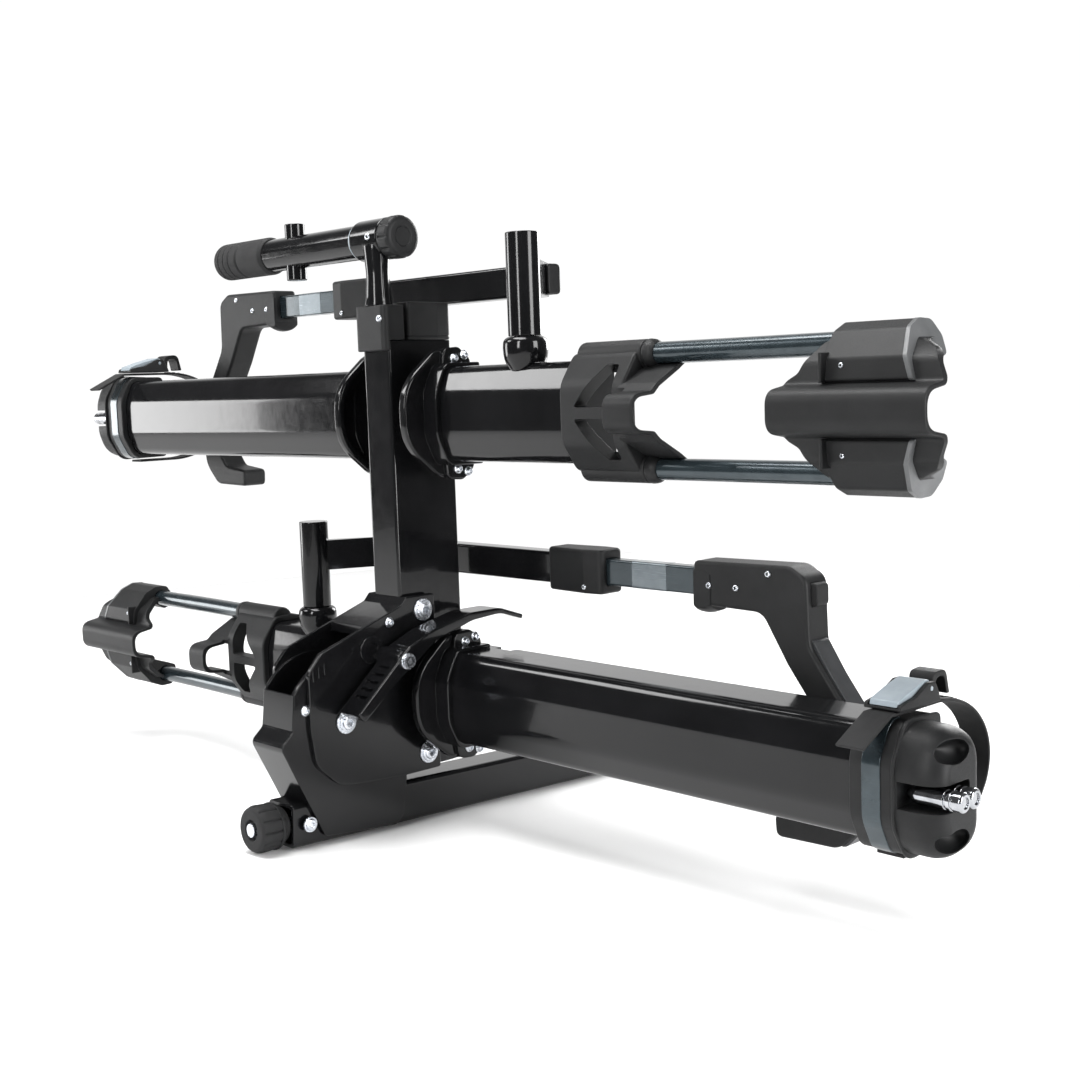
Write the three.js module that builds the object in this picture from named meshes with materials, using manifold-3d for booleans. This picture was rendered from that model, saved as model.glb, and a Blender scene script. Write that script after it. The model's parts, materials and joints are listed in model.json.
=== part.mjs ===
// Two-bike platform rack for a 2 in hitch receiver, folded up against the vehicle.
// Millimetres, +X along the wheel trays, +Y towards the vehicle, +Z up.
// The origin is on the underside of the drawbar, below its hitch-pin hole.
import * as THREE from 'three';
import { mergeVertices } from 'three/addons/utils/BufferGeometryUtils.js';
import Module from 'manifold-3d';

const wasm = await Module();
wasm.setup();

// ---------- driving dimensions ----------
const GAP = 0.4;                 // clearance between touching pieces
const ROUND = 16;                // sides of a small round part
const ARC = 3;                   // steps in a corner arc

const BAR = 50.8;                // drawbar and spine width
const BAR_WALL = 5;
const BAR_REAR = -535;           // drawbar's rear end
const BAR_FRONT = 70;
const HITCH_PIN_D = 16.2;

const SPINE_FRONT = -370;        // rear-facing surface of the spine, along Y
const SPINE_DEPTH = 100;
const SPINE_CREASE = 62;         // where the spine starts to narrow
const SPINE_TAPER = 3;
const SPINE_BOTTOM = 60;
const SPINE_TOP = 586;
const SPINE_WALL = 3;
const LEAN = THREE.MathUtils.degToRad(2);

// In the mast's own frame Y is measured from the spine's rear-facing surface.
const FOLD_Y = -97;
const FOLD_Z = 141;
const PIN_R = 6;

const A_IN = BAR / 2 + GAP;      // hitch bracket, inside and outside of its plates
const A_OUT = A_IN + 5.6;
const B_IN = A_OUT + GAP;        // pivot arm, outside the hitch bracket
const B_OUT = B_IN + 5.6;

const TRAY_LOW = 153;            // heights of the two tray centres
const TRAY_STEP = 343;           // 13.5 in between the bicycles
const TRAY_HALF = 56;            // half the tray's width
const TRAY_BELLY = 20;
const TRAY_RIM = 94;
const TRAY_CROWN = 13;           // how far the belly bulges
const TRAY_WALL = 3;
const TRAY_START = 68;           // from the centre plane to each tray's inner end
const STRAP_END = 688;           // where the tray runs into its end collar
const CRADLE_END = 312;          // where the tray runs into the cradle hub

const POST_X = 216;
const POST_Y = 46;
const POST_R = 19;
const ARM_Y = 138;               // arm centre line
const ARM_RISE = 155;            // arm above its tray's centre

const RAIL_SPREAD = 60;          // cradle rails, half their spacing
const RAIL_R = 11.5;
const RAIL_Y = 50;
const BARREL_R = 15;             // sockets that hold the rails

// ---------- geometry helpers ----------
const v3 = (x, y, z) => new THREE.Vector3(x, y, z);

// A closed outline from corners [a, b, radius]; a corner without a radius is sharp.
function outline(corners) {
  const shape = new THREE.Shape();
  const n = corners.length;
  corners.forEach(([a, b, r = 0], i) => {
    const here = new THREE.Vector2(a, b);
    const back = new THREE.Vector2(...corners[(i + n - 1) % n].slice(0, 2)).sub(here);
    const next = new THREE.Vector2(...corners[(i + 1) % n].slice(0, 2)).sub(here);
    const half = Math.acos(THREE.MathUtils.clamp(
      back.clone().normalize().dot(next.clone().normalize()), -1, 1)) / 2;
    const reach = Math.min(r / Math.tan(half), back.length() * 0.49, next.length() * 0.49);
    const from = here.clone().addScaledVector(back.normalize(), reach);
    const to = here.clone().addScaledVector(next.normalize(), reach);
    if (i === 0) shape.moveTo(from.x, from.y);
    else shape.lineTo(from.x, from.y);
    if (r > 0) shape.quadraticCurveTo(here.x, here.y, to.x, to.y);
  });
  shape.closePath();
  return shape;
}

// Corners for z > 0 followed by their mirror image in z.
const flippedEdge = (corners) => corners.map(([y, z, r]) => [y, -z, r]).reverse();
const mirroredEdge = (corners) => [...corners, ...flippedEdge(corners)];

// Extrusions: the outline's two axes, then the direction in which it is drawn out.
function drawn(shape, from, to, axes, arc = ARC) {
  const options = { depth: to - from, bevelEnabled: false, curveSegments: arc };
  const geometry = new THREE.ExtrudeGeometry(shape, options);
  geometry.translate(0, 0, from);
  return geometry.applyMatrix4(new THREE.Matrix4().makeBasis(...axes));
}
const X = v3(1, 0, 0);
const Y = v3(0, 1, 0);
const Z = v3(0, 0, 1);
const alongX = (shape, from, to, arc) => drawn(shape, from, to, [Y, Z, X], arc);   // outline (y, z)
const alongY = (shape, from, to, arc) => drawn(shape, from, to, [Z, X, Y], arc);   // outline (z, x)
const alongZ = (shape, from, to, arc) => drawn(shape, from, to, [X, Y, Z], arc);   // outline (x, y)

// Turned solids: pairs of [place along the axis, radius], from the axis back to the axis.
function turned(profile, axis, sides = ROUND) {
  const points = profile.map(([place, radius]) => new THREE.Vector2(radius, place));
  const first = new THREE.Vector2(0, points[0].y);
  const last = new THREE.Vector2(0, points[points.length - 1].y);
  const geometry = new THREE.LatheGeometry([first, ...points, last], sides);
  return geometry.applyMatrix4(new THREE.Matrix4().makeRotationFromQuaternion(
    new THREE.Quaternion().setFromUnitVectors(Y, axis)));
}
const at = (geometry, x, y, z) => geometry.translate(x, y, z);
const rod = (radius, from, to, axis, sides) => turned([[from, radius], [to, radius]], axis, sides);

function block(x0, x1, y0, y1, z0, z1) {
  return at(new THREE.BoxGeometry(x1 - x0, y1 - y0, z1 - z0), (x0 + x1) / 2, (y0 + y1) / 2, (z0 + z1) / 2);
}

function solid(geometry) {
  let bare = geometry.clone();
  bare.deleteAttribute('normal');
  bare.deleteAttribute('uv');
  bare = mergeVertices(bare, 1e-3);
  const index = bare.index.array;
  const kept = [];
  for (let i = 0; i < index.length; i += 3) {
    const [a, b, c] = index.slice(i, i + 3);
    if (a !== b && b !== c && c !== a) kept.push(a, b, c);
  }
  return new wasm.Manifold(new wasm.Mesh({
    numProp: 3,
    vertProperties: new Float32Array(bare.attributes.position.array),
    triVerts: new Uint32Array(kept),
  }));
}

function shaped(manifold) {
  const mesh = manifold.getMesh();
  const geometry = new THREE.BufferGeometry();
  geometry.setAttribute('position', new THREE.BufferAttribute(new Float32Array(mesh.vertProperties), 3));
  geometry.setIndex(new THREE.BufferAttribute(new Uint32Array(mesh.triVerts), 1));
  geometry.computeVertexNormals();
  return geometry;
}

// First geometry plus the others in `adds`, minus those in `cuts`.
function made(base, { adds = [], cuts = [], keep = null } = {}) {
  let result = solid(base);
  adds.forEach((part) => { result = result.add(solid(part)); });
  cuts.forEach((part) => { result = result.subtract(solid(part)); });
  if (keep) result = result.intersect(solid(keep));
  return shaped(result);
}

function mirroredX(geometry) {
  const flipped = geometry.index ? geometry.clone() : mergeVertices(geometry);
  flipped.scale(-1, 1, 1);
  const order = Array.from(flipped.index.array);
  for (let i = 0; i < order.length; i += 3) [order[i + 1], order[i + 2]] = [order[i + 2], order[i + 1]];
  flipped.setIndex(order);
  flipped.computeVertexNormals();
  return flipped;
}

// ---------- materials ----------
const paint = [0x0b0b0d, 0.16, 0.2];
const plastic = [0x26272a, 0.55, 0];
const rubber = [0x1a1a1b, 0.75, 0];
const zinc = [0xb9bcc2, 0.32, 0.9];
const chrome = [0xd5d8dc, 0.12, 1];
const slate = [0x3b464e, 0.25, 0.6];
const pale = [0x9aa1a6, 0.4, 0];

function piece(group, name, geometry, [color, roughness, metalness]) {
  const mesh = new THREE.Mesh(geometry, new THREE.MeshStandardMaterial({ color, roughness, metalness }));
  mesh.name = name;
  group.add(mesh);
  return mesh;
}

// ---------- drawbar, hitch bracket and anti-rattle cam ----------
const WEDGE_SLOPE = 22;          // run of the wedge's sloping face
const BAR_MID = BAR / 2;
const SEAT = 0.1;                // the drawbar is this much smaller where the bracket holds it
const SEAT_END = SPINE_FRONT + 3;
const BOLT_R = 4;                // short bolt through the bracket into the drawbar
const BOLT_Y = -146;
const BOLT_Z = 27;

function squareOutline(half, r) {
  return outline([[-half, -half, r], [half, -half, r], [half, half, r], [-half, half, r]]);
}

function drawbarTube() {
  const outer = squareOutline(BAR_MID, 6);
  outer.holes.push(squareOutline(BAR_MID - BAR_WALL, 3));
  const tube = at(alongY(outer, BAR_REAR, BAR_FRONT), 0, 0, BAR_MID);
  const pinHole = at(rod(HITCH_PIN_D / 2, -BAR, BAR, X), 0, 0, BAR_MID);
  const boltHole = at(rod(BOLT_R + GAP, 0, BAR, X, 12), 0, SPINE_FRONT + BOLT_Y, BOLT_Z);
  const beyond = BAR_FRONT + 30;
  const slope = outline([[BAR_FRONT - WEDGE_SLOPE, BAR + 1], [BAR_FRONT + 1, -1], [beyond, -1],
    [beyond, BAR + 1]]);
  const left = block(-BAR_MID + SEAT, BAR_MID - SEAT, BAR_REAR - 9, SEAT_END + 9, SEAT, BAR - SEAT);
  const skin = made(block(-BAR, BAR, BAR_REAR - 5, SEAT_END, -5, BAR + 5), { cuts: [left] });
  return made(tube, { cuts: [pinHole, boltHole, alongX(slope, -BAR, BAR), skin] });
}

function camWedge() {
  const tip = BAR_FRONT + 34;
  const side = outline([[BAR_FRONT - WEDGE_SLOPE + 2, BAR], [BAR_FRONT + 2, 0], [tip, 0, 6], [tip, BAR, 6]]);
  const slot = outline([[BAR_MID - 10, -6], [BAR_MID + 8, -6], [BAR_MID + 8, 6], [BAR_MID - 10, 6]]);
  return made(alongX(side, -BAR_MID + 1, BAR_MID - 1), { cuts: [alongY(slot, BAR_FRONT - 40, tip + 5)] });
}

const KNOB_Y = BAR_REAR - 7;
const KNOB_FACE = KNOB_Y - 34;
function camKnob() {
  const profile = [[BAR_REAR - 1, 5.6], [BAR_REAR - 1, 21], [KNOB_Y, 22], [KNOB_Y - 3, 26],
    [KNOB_FACE + 5, 28], [KNOB_FACE, 24.5], [KNOB_FACE, 11.5], [KNOB_FACE + 4, 11.5],
    [KNOB_FACE + 4, 5.6]].reverse();
  const points = profile.map(([y, r]) => new THREE.Vector2(r, y));
  return at(new THREE.LatheGeometry([...points, points[0].clone()], ROUND), 0, 0, BAR_MID);
}

function camRod() {
  return at(turned([[KNOB_FACE - 1, 8], [KNOB_FACE + 3.6, 8], [KNOB_FACE + 3.6, 5], [BAR_FRONT + 36, 5],
    [BAR_FRONT + 36, 9], [BAR_FRONT + 44, 9]], Y, 12), 0, 0, BAR_MID);
}

// Side view of the hitch bracket, in the mast's Y but the drawbar's upright Z.
function hitchBracketSide() {
  const shape = new THREE.Shape();
  const crown = 78;                                   // top edge, an arc round the fold pin
  const start = THREE.MathUtils.degToRad(150);
  const end = THREE.MathUtils.degToRad(62);
  shape.moveTo(-168, 137);
  shape.lineTo(FOLD_Y + crown * Math.cos(start), FOLD_Z + crown * Math.sin(start));
  shape.absarc(FOLD_Y, FOLD_Z, crown, start, end, true);
  shape.lineTo(-18, 150);
  shape.lineTo(-2, 62);
  shape.lineTo(-8, 12);
  shape.lineTo(-20, 2);
  shape.lineTo(-124, 8);
  shape.lineTo(-184, 122);
  shape.closePath();
  return shape;
}

function hitchBracket() {
  const side = hitchBracketSide();
  const outer = alongX(side, -A_OUT, A_OUT, 8);
  const WEB = 4;
  const inner = outline([[-168 + WEB, 138], [-168 + WEB, 240], [30, 240], [30, -10], [-124 + WEB + 1, -10],
    [-124 + WEB, 9], [-184 + WEB + 1, 122]]);
  const pinHole = at(rod(PIN_R + GAP, -50, 50, X), 0, FOLD_Y, FOLD_Z);
  const boltHole = at(rod(BOLT_R + GAP, 0, 50, X, 12), 0, BOLT_Y, BOLT_Z);
  const latchHoles = LATCH_STOPS.map(
    (angle) => at(rod(LATCH_R + GAP, -50, 0, X, 12), 0, ...latchStop(angle)));
  const barWay = block(-A_IN, A_IN, -300, 200, -20, BAR + GAP);
  return made(outer, { cuts: [alongX(inner, -A_IN, A_IN), barWay, pinHole, boltHole, ...latchHoles] });
}

function bracketBolt() {
  const profile = [[14, BOLT_R], [A_OUT + GAP, BOLT_R], [A_OUT + GAP, 8], [A_OUT + 4, 8]];
  return at(turned(profile, X, 12), 0, BOLT_Y, BOLT_Z);
}

// A bolt or pin across the object: shank with a head at each end.
function crossBolt(shank, reach, head, thick, cap = 0, sides = 12) {
  const profile = [[-reach - thick, head], [-reach, head], [-reach, shank], [reach, shank],
    [reach, head], [reach + thick, head]];
  if (cap > 0) profile.push([reach + thick, cap], [reach + thick + 5, cap]);
  return turned(profile, X, sides);
}

// ---------- pivot arm, spine and latch ----------
const LATCH_R = 5;
const LATCH_Y = -62;
const LATCH_Z = 190;
const LATCH_STOPS = [0, 88, 120];   // degrees of fold at which the latch drops in

// Where the latch stands on the fixed bracket when the mast is folded by an angle.
function latchStop(degrees) {
  const reach = new THREE.Vector2(LATCH_Y - FOLD_Y, LATCH_Z - FOLD_Z);
  reach.rotateAround(new THREE.Vector2(), LEAN + THREE.MathUtils.degToRad(degrees));
  return [FOLD_Y + reach.x, FOLD_Z + reach.y];
}
const SPINE_BOLTS = [[25, 259], [25, 81]];

function pivotArm() {
  const side = outline([[44, 277, 4], [0, 277, 3], [-8, 268, 6], [-128, 226, 10], [-146, 206, 14],
    [-146, 140, 20], [-140, 96, 30], [-110, 68, 30], [-80, 63, 12], [-10, 59, 6], [44, 59, 4]]);
  const WEB = 5;
  const throat = block(-B_IN, B_IN, -GAP, SPINE_DEPTH, 0, 400);
  const below = outline([[-300, 0], [200, 0], [200, 265], [-2, 265], [-62, 243 - WEB], [-62, 300],
    [-300, 300]]);
  const bores = SPINE_BOLTS.map(([y, z]) => at(rod(6.4, -60, 60, X, 12), 0, y, z));
  bores.push(at(rod(PIN_R + GAP, -60, 60, X), 0, FOLD_Y, FOLD_Z));
  bores.push(at(rod(LATCH_R + GAP, -60, 0, X, 12), 0, LATCH_Y, LATCH_Z));
  bores.push(at(rod(PEDAL_R + GAP, 0, 60, X, 12), 0, PEDAL_Y, PEDAL_Z));
  return made(alongX(side, -B_OUT, B_OUT, 4), { cuts: [alongX(below, -B_IN, B_IN), throat, ...bores] });
}

function spineTube() {
  const half = BAR / 2;
  const back = half - SPINE_TAPER;
  const shell = outline([[-half, 0, 3], [half, 0, 3], [half, SPINE_CREASE, 12], [back, SPINE_DEPTH, 4],
    [-back, SPINE_DEPTH, 4], [-half, SPINE_CREASE, 12]]);
  const w = SPINE_WALL;
  shell.holes.push(outline([[-half + w, w, 1], [half - w, w, 1], [half - w, SPINE_CREASE, 10],
    [back - w, SPINE_DEPTH - w, 2], [-back + w, SPINE_DEPTH - w, 2], [-half + w, SPINE_CREASE, 10]]));
  const bores = SPINE_BOLTS.map(([y, z]) => at(rod(6.4, -60, 60, X, 12), 0, y, z));
  return made(alongZ(shell, SPINE_BOTTOM, SPINE_TOP, 2), { cuts: bores });
}

function spineCap() {
  const half = BAR / 2 + 1.5;
  const top = SPINE_TOP + 46;
  const lid = outline([[-half, 30, 4], [half, 30, 4], [half, 76, 8], [half - 4, 100, 6], [-half + 4, 100, 6],
    [-half, 76, 8]]);
  return alongZ(lid, SPINE_TOP + GAP, top, 2);
}

// ---------- trays, collars and ends ----------
// The tray's section in (y, z) about its centre; `inset` moves the whole skin inwards.
function traySection(inset) {
  const half = TRAY_HALF - inset;
  const belly = TRAY_BELLY + inset;
  return outline(mirroredEdge([[TRAY_RIM, half], [belly + TRAY_CROWN, half, 16], [belly, half * 0.42, 40]]));
}

function trayHalf(from, to) {
  const outer = traySection(0);
  const inner = traySection(TRAY_WALL);
  const hollow = alongX(inner, from - 1, to + 1, 2);
  const open = TRAY_HALF - TRAY_WALL;
  const mouth = block(from - 1, to + 1, TRAY_RIM - 2, TRAY_RIM + 5, -open, open);
  return made(alongX(outer, from, to, 2), { cuts: [hollow, mouth] });
}

// The bell at each side of the spine: a flared mouth facing the spine, a core that
// seats the tray's end, and bolted ears above and below.
const BELL = 59;                 // where the flared lip begins, from the centre plane
const BELL_LIP = 12;
const BELL_END = 94;
function collar() {
  const lip = outline(mirroredEdge([[84, 74, 8], [34, 76, 26], [-16, 34, 60]]));
  const mouth = outline(mirroredEdge([[100, 62], [36, 68, 24], [-9, 30, 55]]));
  const sleeve = outline(mirroredEdge([[84, 61, 3], [30, 61, 18], [13, 26, 40]]));
  const ear = outline([[38, 50], [84, 50, 4], [84, 66, 12], [66, 80, 12], [42, 78, 12]]);
  const earLow = outline([[38, -50], [42, -78, 12], [66, -80, 12], [84, -66, 12], [84, -50, 4]]);
  const core = outline([[46, 44, 8], [86, 44, 8], [86, -44, 8], [46, -44, 8]]);
  const tray = alongX(traySection(-GAP), TRAY_START - GAP, 200, 2);
  const flare = alongX(mouth, 0, BELL + BELL_LIP - 8, 3);
  const bell = made(alongX(lip, BELL, BELL + BELL_LIP, 3), { cuts: [flare] });
  return made(bell, {
    adds: [alongX(sleeve, BELL + BELL_LIP - 5, BELL_END, 2), alongX(ear, BELL + 4, BELL + 18, 2),
      alongX(earLow, BELL + 4, BELL + 18, 2), alongX(core, BAR / 2 + GAP, BELL + BELL_LIP - 1, 2)],
    cuts: [tray],
  });
}

const ACROSS = [X, Z, v3(0, -1, 0)];   // outline (x, z), drawn out towards -Y

// ---------- front-wheel cradle, built on the +X side ----------
const HUB_START = 303;
const HUB_END = 396;
const LIP_END = 441;             // end of the hub's rubber lip
const PAD_START = 606;
const PAD_END = 772;
const RAIL_END = 676;
const CHEEK_START = PAD_START + 42;
const CHEEK_END = PAD_START + 110;
const rails = (radius, from, to, sides) => [1, -1].map(
  (side) => at(rod(radius, from, to, X, sides), 0, RAIL_Y, side * RAIL_SPREAD));

// A ribbed strip across the tray: a deep groove for the tyre, then a step and a flank at each side.
const GROOVE_FLOOR = -26;
const RUBBER = 5;                // thickness of the strip
const HUB_TROUGH = [[58, 55], [44, 46, 14], [14, 30, 8], [5, 22, 6], [GROOVE_FLOOR, 19, 16]];
const PAD_TROUGH = [[52, 66, 3], [30, 62, 16], [9, 44, 14], [4, 24, 6], [GROOVE_FLOOR, 19, 16]];
function troughSection(half) {
  const over = half.map(([y, z, r]) => [y + RUBBER, z - 3.5, r]);
  return outline([...mirroredEdge(half), ...mirroredEdge(over).reverse()]);
}

function cradleHub() {
  const shell = outline(mirroredEdge([[84, 60, 8], [58, 72, 14], [32, 70, 20], [11, 30, 34]]));
  const windows = [1, -1].map((side) => block(HUB_START + 28, HUB_END - 18, -10, 40,
    side > 0 ? 7 : -40, side > 0 ? 40 : -7));
  const mouth = block(CRADLE_END + 4, HUB_END + 1, 60, 100, -46, 46);
  return made(alongX(shell, HUB_START, HUB_END, 2), {
    adds: [...rails(BARREL_R, HUB_START + 4, HUB_END + 4, 14),
      alongX(troughSection(HUB_TROUGH), HUB_END - 6, LIP_END, 2)],
    cuts: [alongX(traySection(-GAP), HUB_START - 5, CRADLE_END + GAP, 2), ...windows, mouth,
      alongX(traySection(9), CRADLE_END + 4, HUB_END + 1, 2),
      ...rails(RAIL_R + GAP, HUB_END - 26, HUB_END + 80, 12)],
  });
}

function cradleRail(side) {
  return at(rod(RAIL_R, HUB_END - 25, RAIL_END, X, 12), 0, RAIL_Y, side * RAIL_SPREAD);
}

// A ribbed strip with two thick cheeks that take the rails; each cheek ends in a slanting lip.
function cradlePad() {
  const plan = outline(mirroredEdge([[PAD_END, 28, 20], [PAD_END - 8, 56, 24], [PAD_END - 34, 72, 20],
    [PAD_START + 34, 72, 6], [PAD_START + 22, 50, 10], [PAD_START + 14, 34, 10], [PAD_START, 26, 10]]));
  const strip = made(alongX(troughSection(PAD_TROUGH), PAD_START, PAD_END, 2), {
    keep: drawn(plan, -100, 70, ACROSS),
  });
  const cheeks = [1, -1].map((side) => {
    const section = [[0, 25, 3], [3, 46, 8], [24, 71, 14], [42, 79, 10], [60, 78, 8], [69, 64, 8],
      [67, 48, 6], [54, 43, 4], [33, 56, 4], [13, 42, 6], [8, 26, 3]].map(([y, z, r]) => [y, side * z, r]);
    const slant = outline([[CHEEK_START, side * 10], [CHEEK_START, side * 90], [CHEEK_END, side * 90],
      [CHEEK_END + 30, side * 10]]);
    return made(alongX(outline(section), PAD_START, PAD_END, 2), { keep: drawn(slant, -100, 100, ACROSS) });
  });
  return made(strip, { adds: cheeks, cuts: rails(RAIL_R + GAP, PAD_START, RAIL_END + 1, 12) });
}

// ---------- rear-wheel end, built on the +X side ----------
const COLLAR_START = 666;
const COLLAR_END = 712;
const CAP_DEPTH = 48;
const STEM_R = 4;                // guide stem of the lock head, in a bore through the cap
const STEM_Y = 38;
const BARREL_START = COLLAR_END + 6;
const BARREL_END = COLLAR_END + 64;
const stemBore = () => at(rod(STEM_R + GAP, COLLAR_END - 22, COLLAR_END + 60, X, 12), 0, STEM_Y, 0);

function endCollar() {
  const body = outline(mirroredEdge([[86, 62, 8], [30, 63, 22], [12, 28, 36]]));
  return made(alongX(body, COLLAR_START, COLLAR_END, 2), {
    cuts: [alongX(traySection(-GAP), COLLAR_START - 5, STRAP_END + GAP, 2), stemBore()],
  });
}

function endCap() {
  const face = outline(mirroredEdge([[70, 40, 16], [38, 43, 18], [30, 20, 26]]));
  const dome = new THREE.ExtrudeGeometry(face, { depth: CAP_DEPTH - 26, bevelThickness: 26, bevelSize: 19,
    bevelSegments: 4, curveSegments: 2 });
  dome.applyMatrix4(new THREE.Matrix4().makeBasis(Y, Z, X));
  const finger = (side) => {
    const scoop = new THREE.SphereGeometry(1, 10, 6);
    scoop.scale(17, 23, 12);
    return at(scoop, COLLAR_END + CAP_DEPTH - 6, 42, side * 40);
  };
  const lockSeat = block(BARREL_START - GAP, COLLAR_END + 90, -20, 62, -12, 13);
  const flange = outline(mirroredEdge([[88, 63, 8], [31, 66, 22], [9, 30, 36]]));
  return made(at(dome, COLLAR_END + GAP, 0, 0), {
    adds: [alongX(flange, COLLAR_END + GAP, COLLAR_END + 4, 2)],
    cuts: [finger(1), finger(-1), lockSeat, stemBore()],
    keep: block(COLLAR_END + GAP, COLLAR_END + 100, -50, 150, -100, 100),
  });
}

function lockHead() {
  const barrel = (y) => at(turned([[BARREL_START, 3], [BARREL_START + 4, 6.5], [BARREL_START + 11, 9.5],
    [BARREL_END - 2, 9.5], [BARREL_END, 8.5]], X, 12), 0, y, 0);
  const stem = at(rod(STEM_R, COLLAR_END - 20, COLLAR_END + 26, X, 12), 0, STEM_Y, 0);
  return made(barrel(STEM_Y - 9), {
    adds: [barrel(STEM_Y + 9), stem,
      block(BARREL_START + 6, BARREL_END - 6, STEM_Y - 8, STEM_Y + 8, -5, 5)],
  });
}

const STRAP_FROM = COLLAR_START + 8;
const STRAP_TO = COLLAR_END - 8;
function strap() {
  const band = new THREE.Shape();
  const centre = 104;
  const bulge = 90;
  const rise = 66;
  const thick = 3;
  const quarter = Math.PI / 2;
  band.moveTo(44, -rise);
  band.lineTo(centre, -rise);
  band.absellipse(centre, 0, bulge, rise, -quarter, quarter, false);
  band.lineTo(26, rise);
  band.lineTo(-18, 44);
  band.lineTo(-20, 46.5);
  band.lineTo(25, rise + thick);
  band.lineTo(centre, rise + thick);
  band.absellipse(centre, 0, bulge + thick, rise + thick, quarter, -quarter, true);
  band.lineTo(44, -rise - thick);
  band.closePath();
  return alongX(band, STRAP_FROM, STRAP_TO, 8);
}

const BUCKLE_Y = 84;             // hinge line of the buckle's lever
const BUCKLE_Z = 84;
// A floor with two cheeks, and an arched grip that stands behind the lever.
function buckle() {
  const side = outline([[32, 70, 2], [100, 70, 2], [96, 80, 4], [90, 90, 4], [80, 90, 4], [58, 80, 8],
    [34, 76, 3]]);
  const grip = outline([[96, 72], [97, 95, 8], [120, 97, 10], [126, 72, 2], [121, 72, 2], [117, 91, 8],
    [102, 90, 8], [101, 72]]);
  return made(alongX(side, STRAP_FROM - 5, STRAP_TO + 5, 2), {
    adds: [alongX(grip, STRAP_FROM + 2, STRAP_TO - 2, 3)],
    cuts: [block(STRAP_FROM - 1, STRAP_TO + 1, 30, 96, 73, 100),
      at(rod(2.6, 500, 900, X, 12), 0, BUCKLE_Y, BUCKLE_Z)],
  });
}

function buckleLever() {
  const side = outline([[34, 73.5], [42, 73.5], [84, 80], [88, 84], [88, 91, 3], [82, 92, 3], [58, 86, 10],
    [36, 79, 3]]);
  return made(alongX(side, STRAP_FROM, STRAP_TO, 2), {
    adds: [at(rod(2.2, STRAP_FROM - 5, STRAP_TO + 5, X, 12), 0, BUCKLE_Y, BUCKLE_Z)],
  });
}

// ---------- front-wheel arm, built at a post on the -X side and pointing along +X ----------
const OUTER_END = 200;
const PIVOT_R = 12;
const POST_TOP = 201;
const POST_FOOT = 86;
const ELBOW_X = -150;            // where the slanting elbow meets the arm

function armMount() {
  const cup = at(turned([[42, 9], [47, 17], [58, 24], [72, 26], [82, 25], [POST_FOOT - GAP, 20],
    [POST_FOOT - GAP, PIVOT_R], [POST_TOP - 8, PIVOT_R]], Z, 14), -POST_X, POST_Y, 0);
  return made(cup, { cuts: [alongX(traySection(-GAP), -CRADLE_END - 20, 0, 2)] });
}

function armBase() {
  const post = at(rod(POST_R, POST_FOOT, POST_TOP, Z, 14), -POST_X, POST_Y, 0);
  const elbow = outline([[-POST_X - 13, POST_Y], [-POST_X + 13, POST_Y], [ELBOW_X - 16, ARM_Y - 13, 20],
    [ELBOW_X + 30, ARM_Y - 13], [ELBOW_X + 30, ARM_Y + 13], [ELBOW_X, ARM_Y + 13, 20]]);
  const sleeve = block(ELBOW_X + 10, OUTER_END, ARM_Y - 12.5, ARM_Y + 12.5, ARM_RISE - 19, ARM_RISE + 19);
  return made(post, {
    adds: [alongZ(elbow, ARM_RISE - 20, ARM_RISE + 20, 2), sleeve],
    cuts: [at(rod(PIVOT_R + GAP, POST_FOOT - 5, POST_TOP - 6, Z), -POST_X, POST_Y, 0),
      block(ELBOW_X + 34, OUTER_END + 5, ARM_Y - 9.5, ARM_Y + 9.5, ARM_RISE - 16, ARM_RISE + 16)],
  });
}

function ratchetHousing() {
  const body = outline([[162, ARM_Y - 17, 5], [226, ARM_Y - 22, 8], [252, ARM_Y - 18, 5],
    [252, ARM_Y + 18, 5], [226, ARM_Y + 22, 8], [162, ARM_Y + 17, 5]]);
  return made(alongZ(body, ARM_RISE - 26, ARM_RISE + 26, 2), {
    cuts: [block(150, OUTER_END + GAP, ARM_Y - 12.9, ARM_Y + 12.9, ARM_RISE - 19.4, ARM_RISE + 19.4),
      block(190, 260, ARM_Y - 9.5, ARM_Y + 9.5, ARM_RISE - 16, ARM_RISE + 16)],
  });
}

const SLIDER_END = 436;
function armSlider() {
  return block(10, SLIDER_END, ARM_Y - 9, ARM_Y + 9, ARM_RISE - 15.5, ARM_RISE + 15.5);
}

const HOOK_WIDTH = 38;
const BUTTON_X = 526;
const BUTTON_STROKE = 3;

const HEAD_END = 542;
function wheelHook() {
  const rise = ARM_RISE;
  const side = outline([[392, rise + 24, 4], [520, rise + 26, 20], [HEAD_END, rise + 14, 16], [544, 100, 30],
    [566, 70, 30], [596, 30, 50], [610, -20, 50], [608, -76, 40], [576, -106, 22], [498, -108, 6],
    [496, -84, 8], [548, -78, 20], [570, -52, 30], [568, -10, 40], [548, 36, 40], [516, 78, 40],
    [484, rise - 26, 20], [392, rise - 24, 4]]);
  const hook = drawn(side, 0, HOOK_WIDTH, ACROSS);
  hook.translate(0, ARM_Y + HOOK_WIDTH / 2, 0);
  return made(hook, {
    cuts: [block(380, SLIDER_END + GAP, ARM_Y - 9.4, ARM_Y + 9.4, rise - 15.9, rise + 15.9),
      block(BUTTON_X - BUTTON_STROKE - GAP, HEAD_END + 50, ARM_Y - 10.4, ARM_Y + 10.4, rise - 15.4,
        rise + 9.4)],
  });
}

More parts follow.
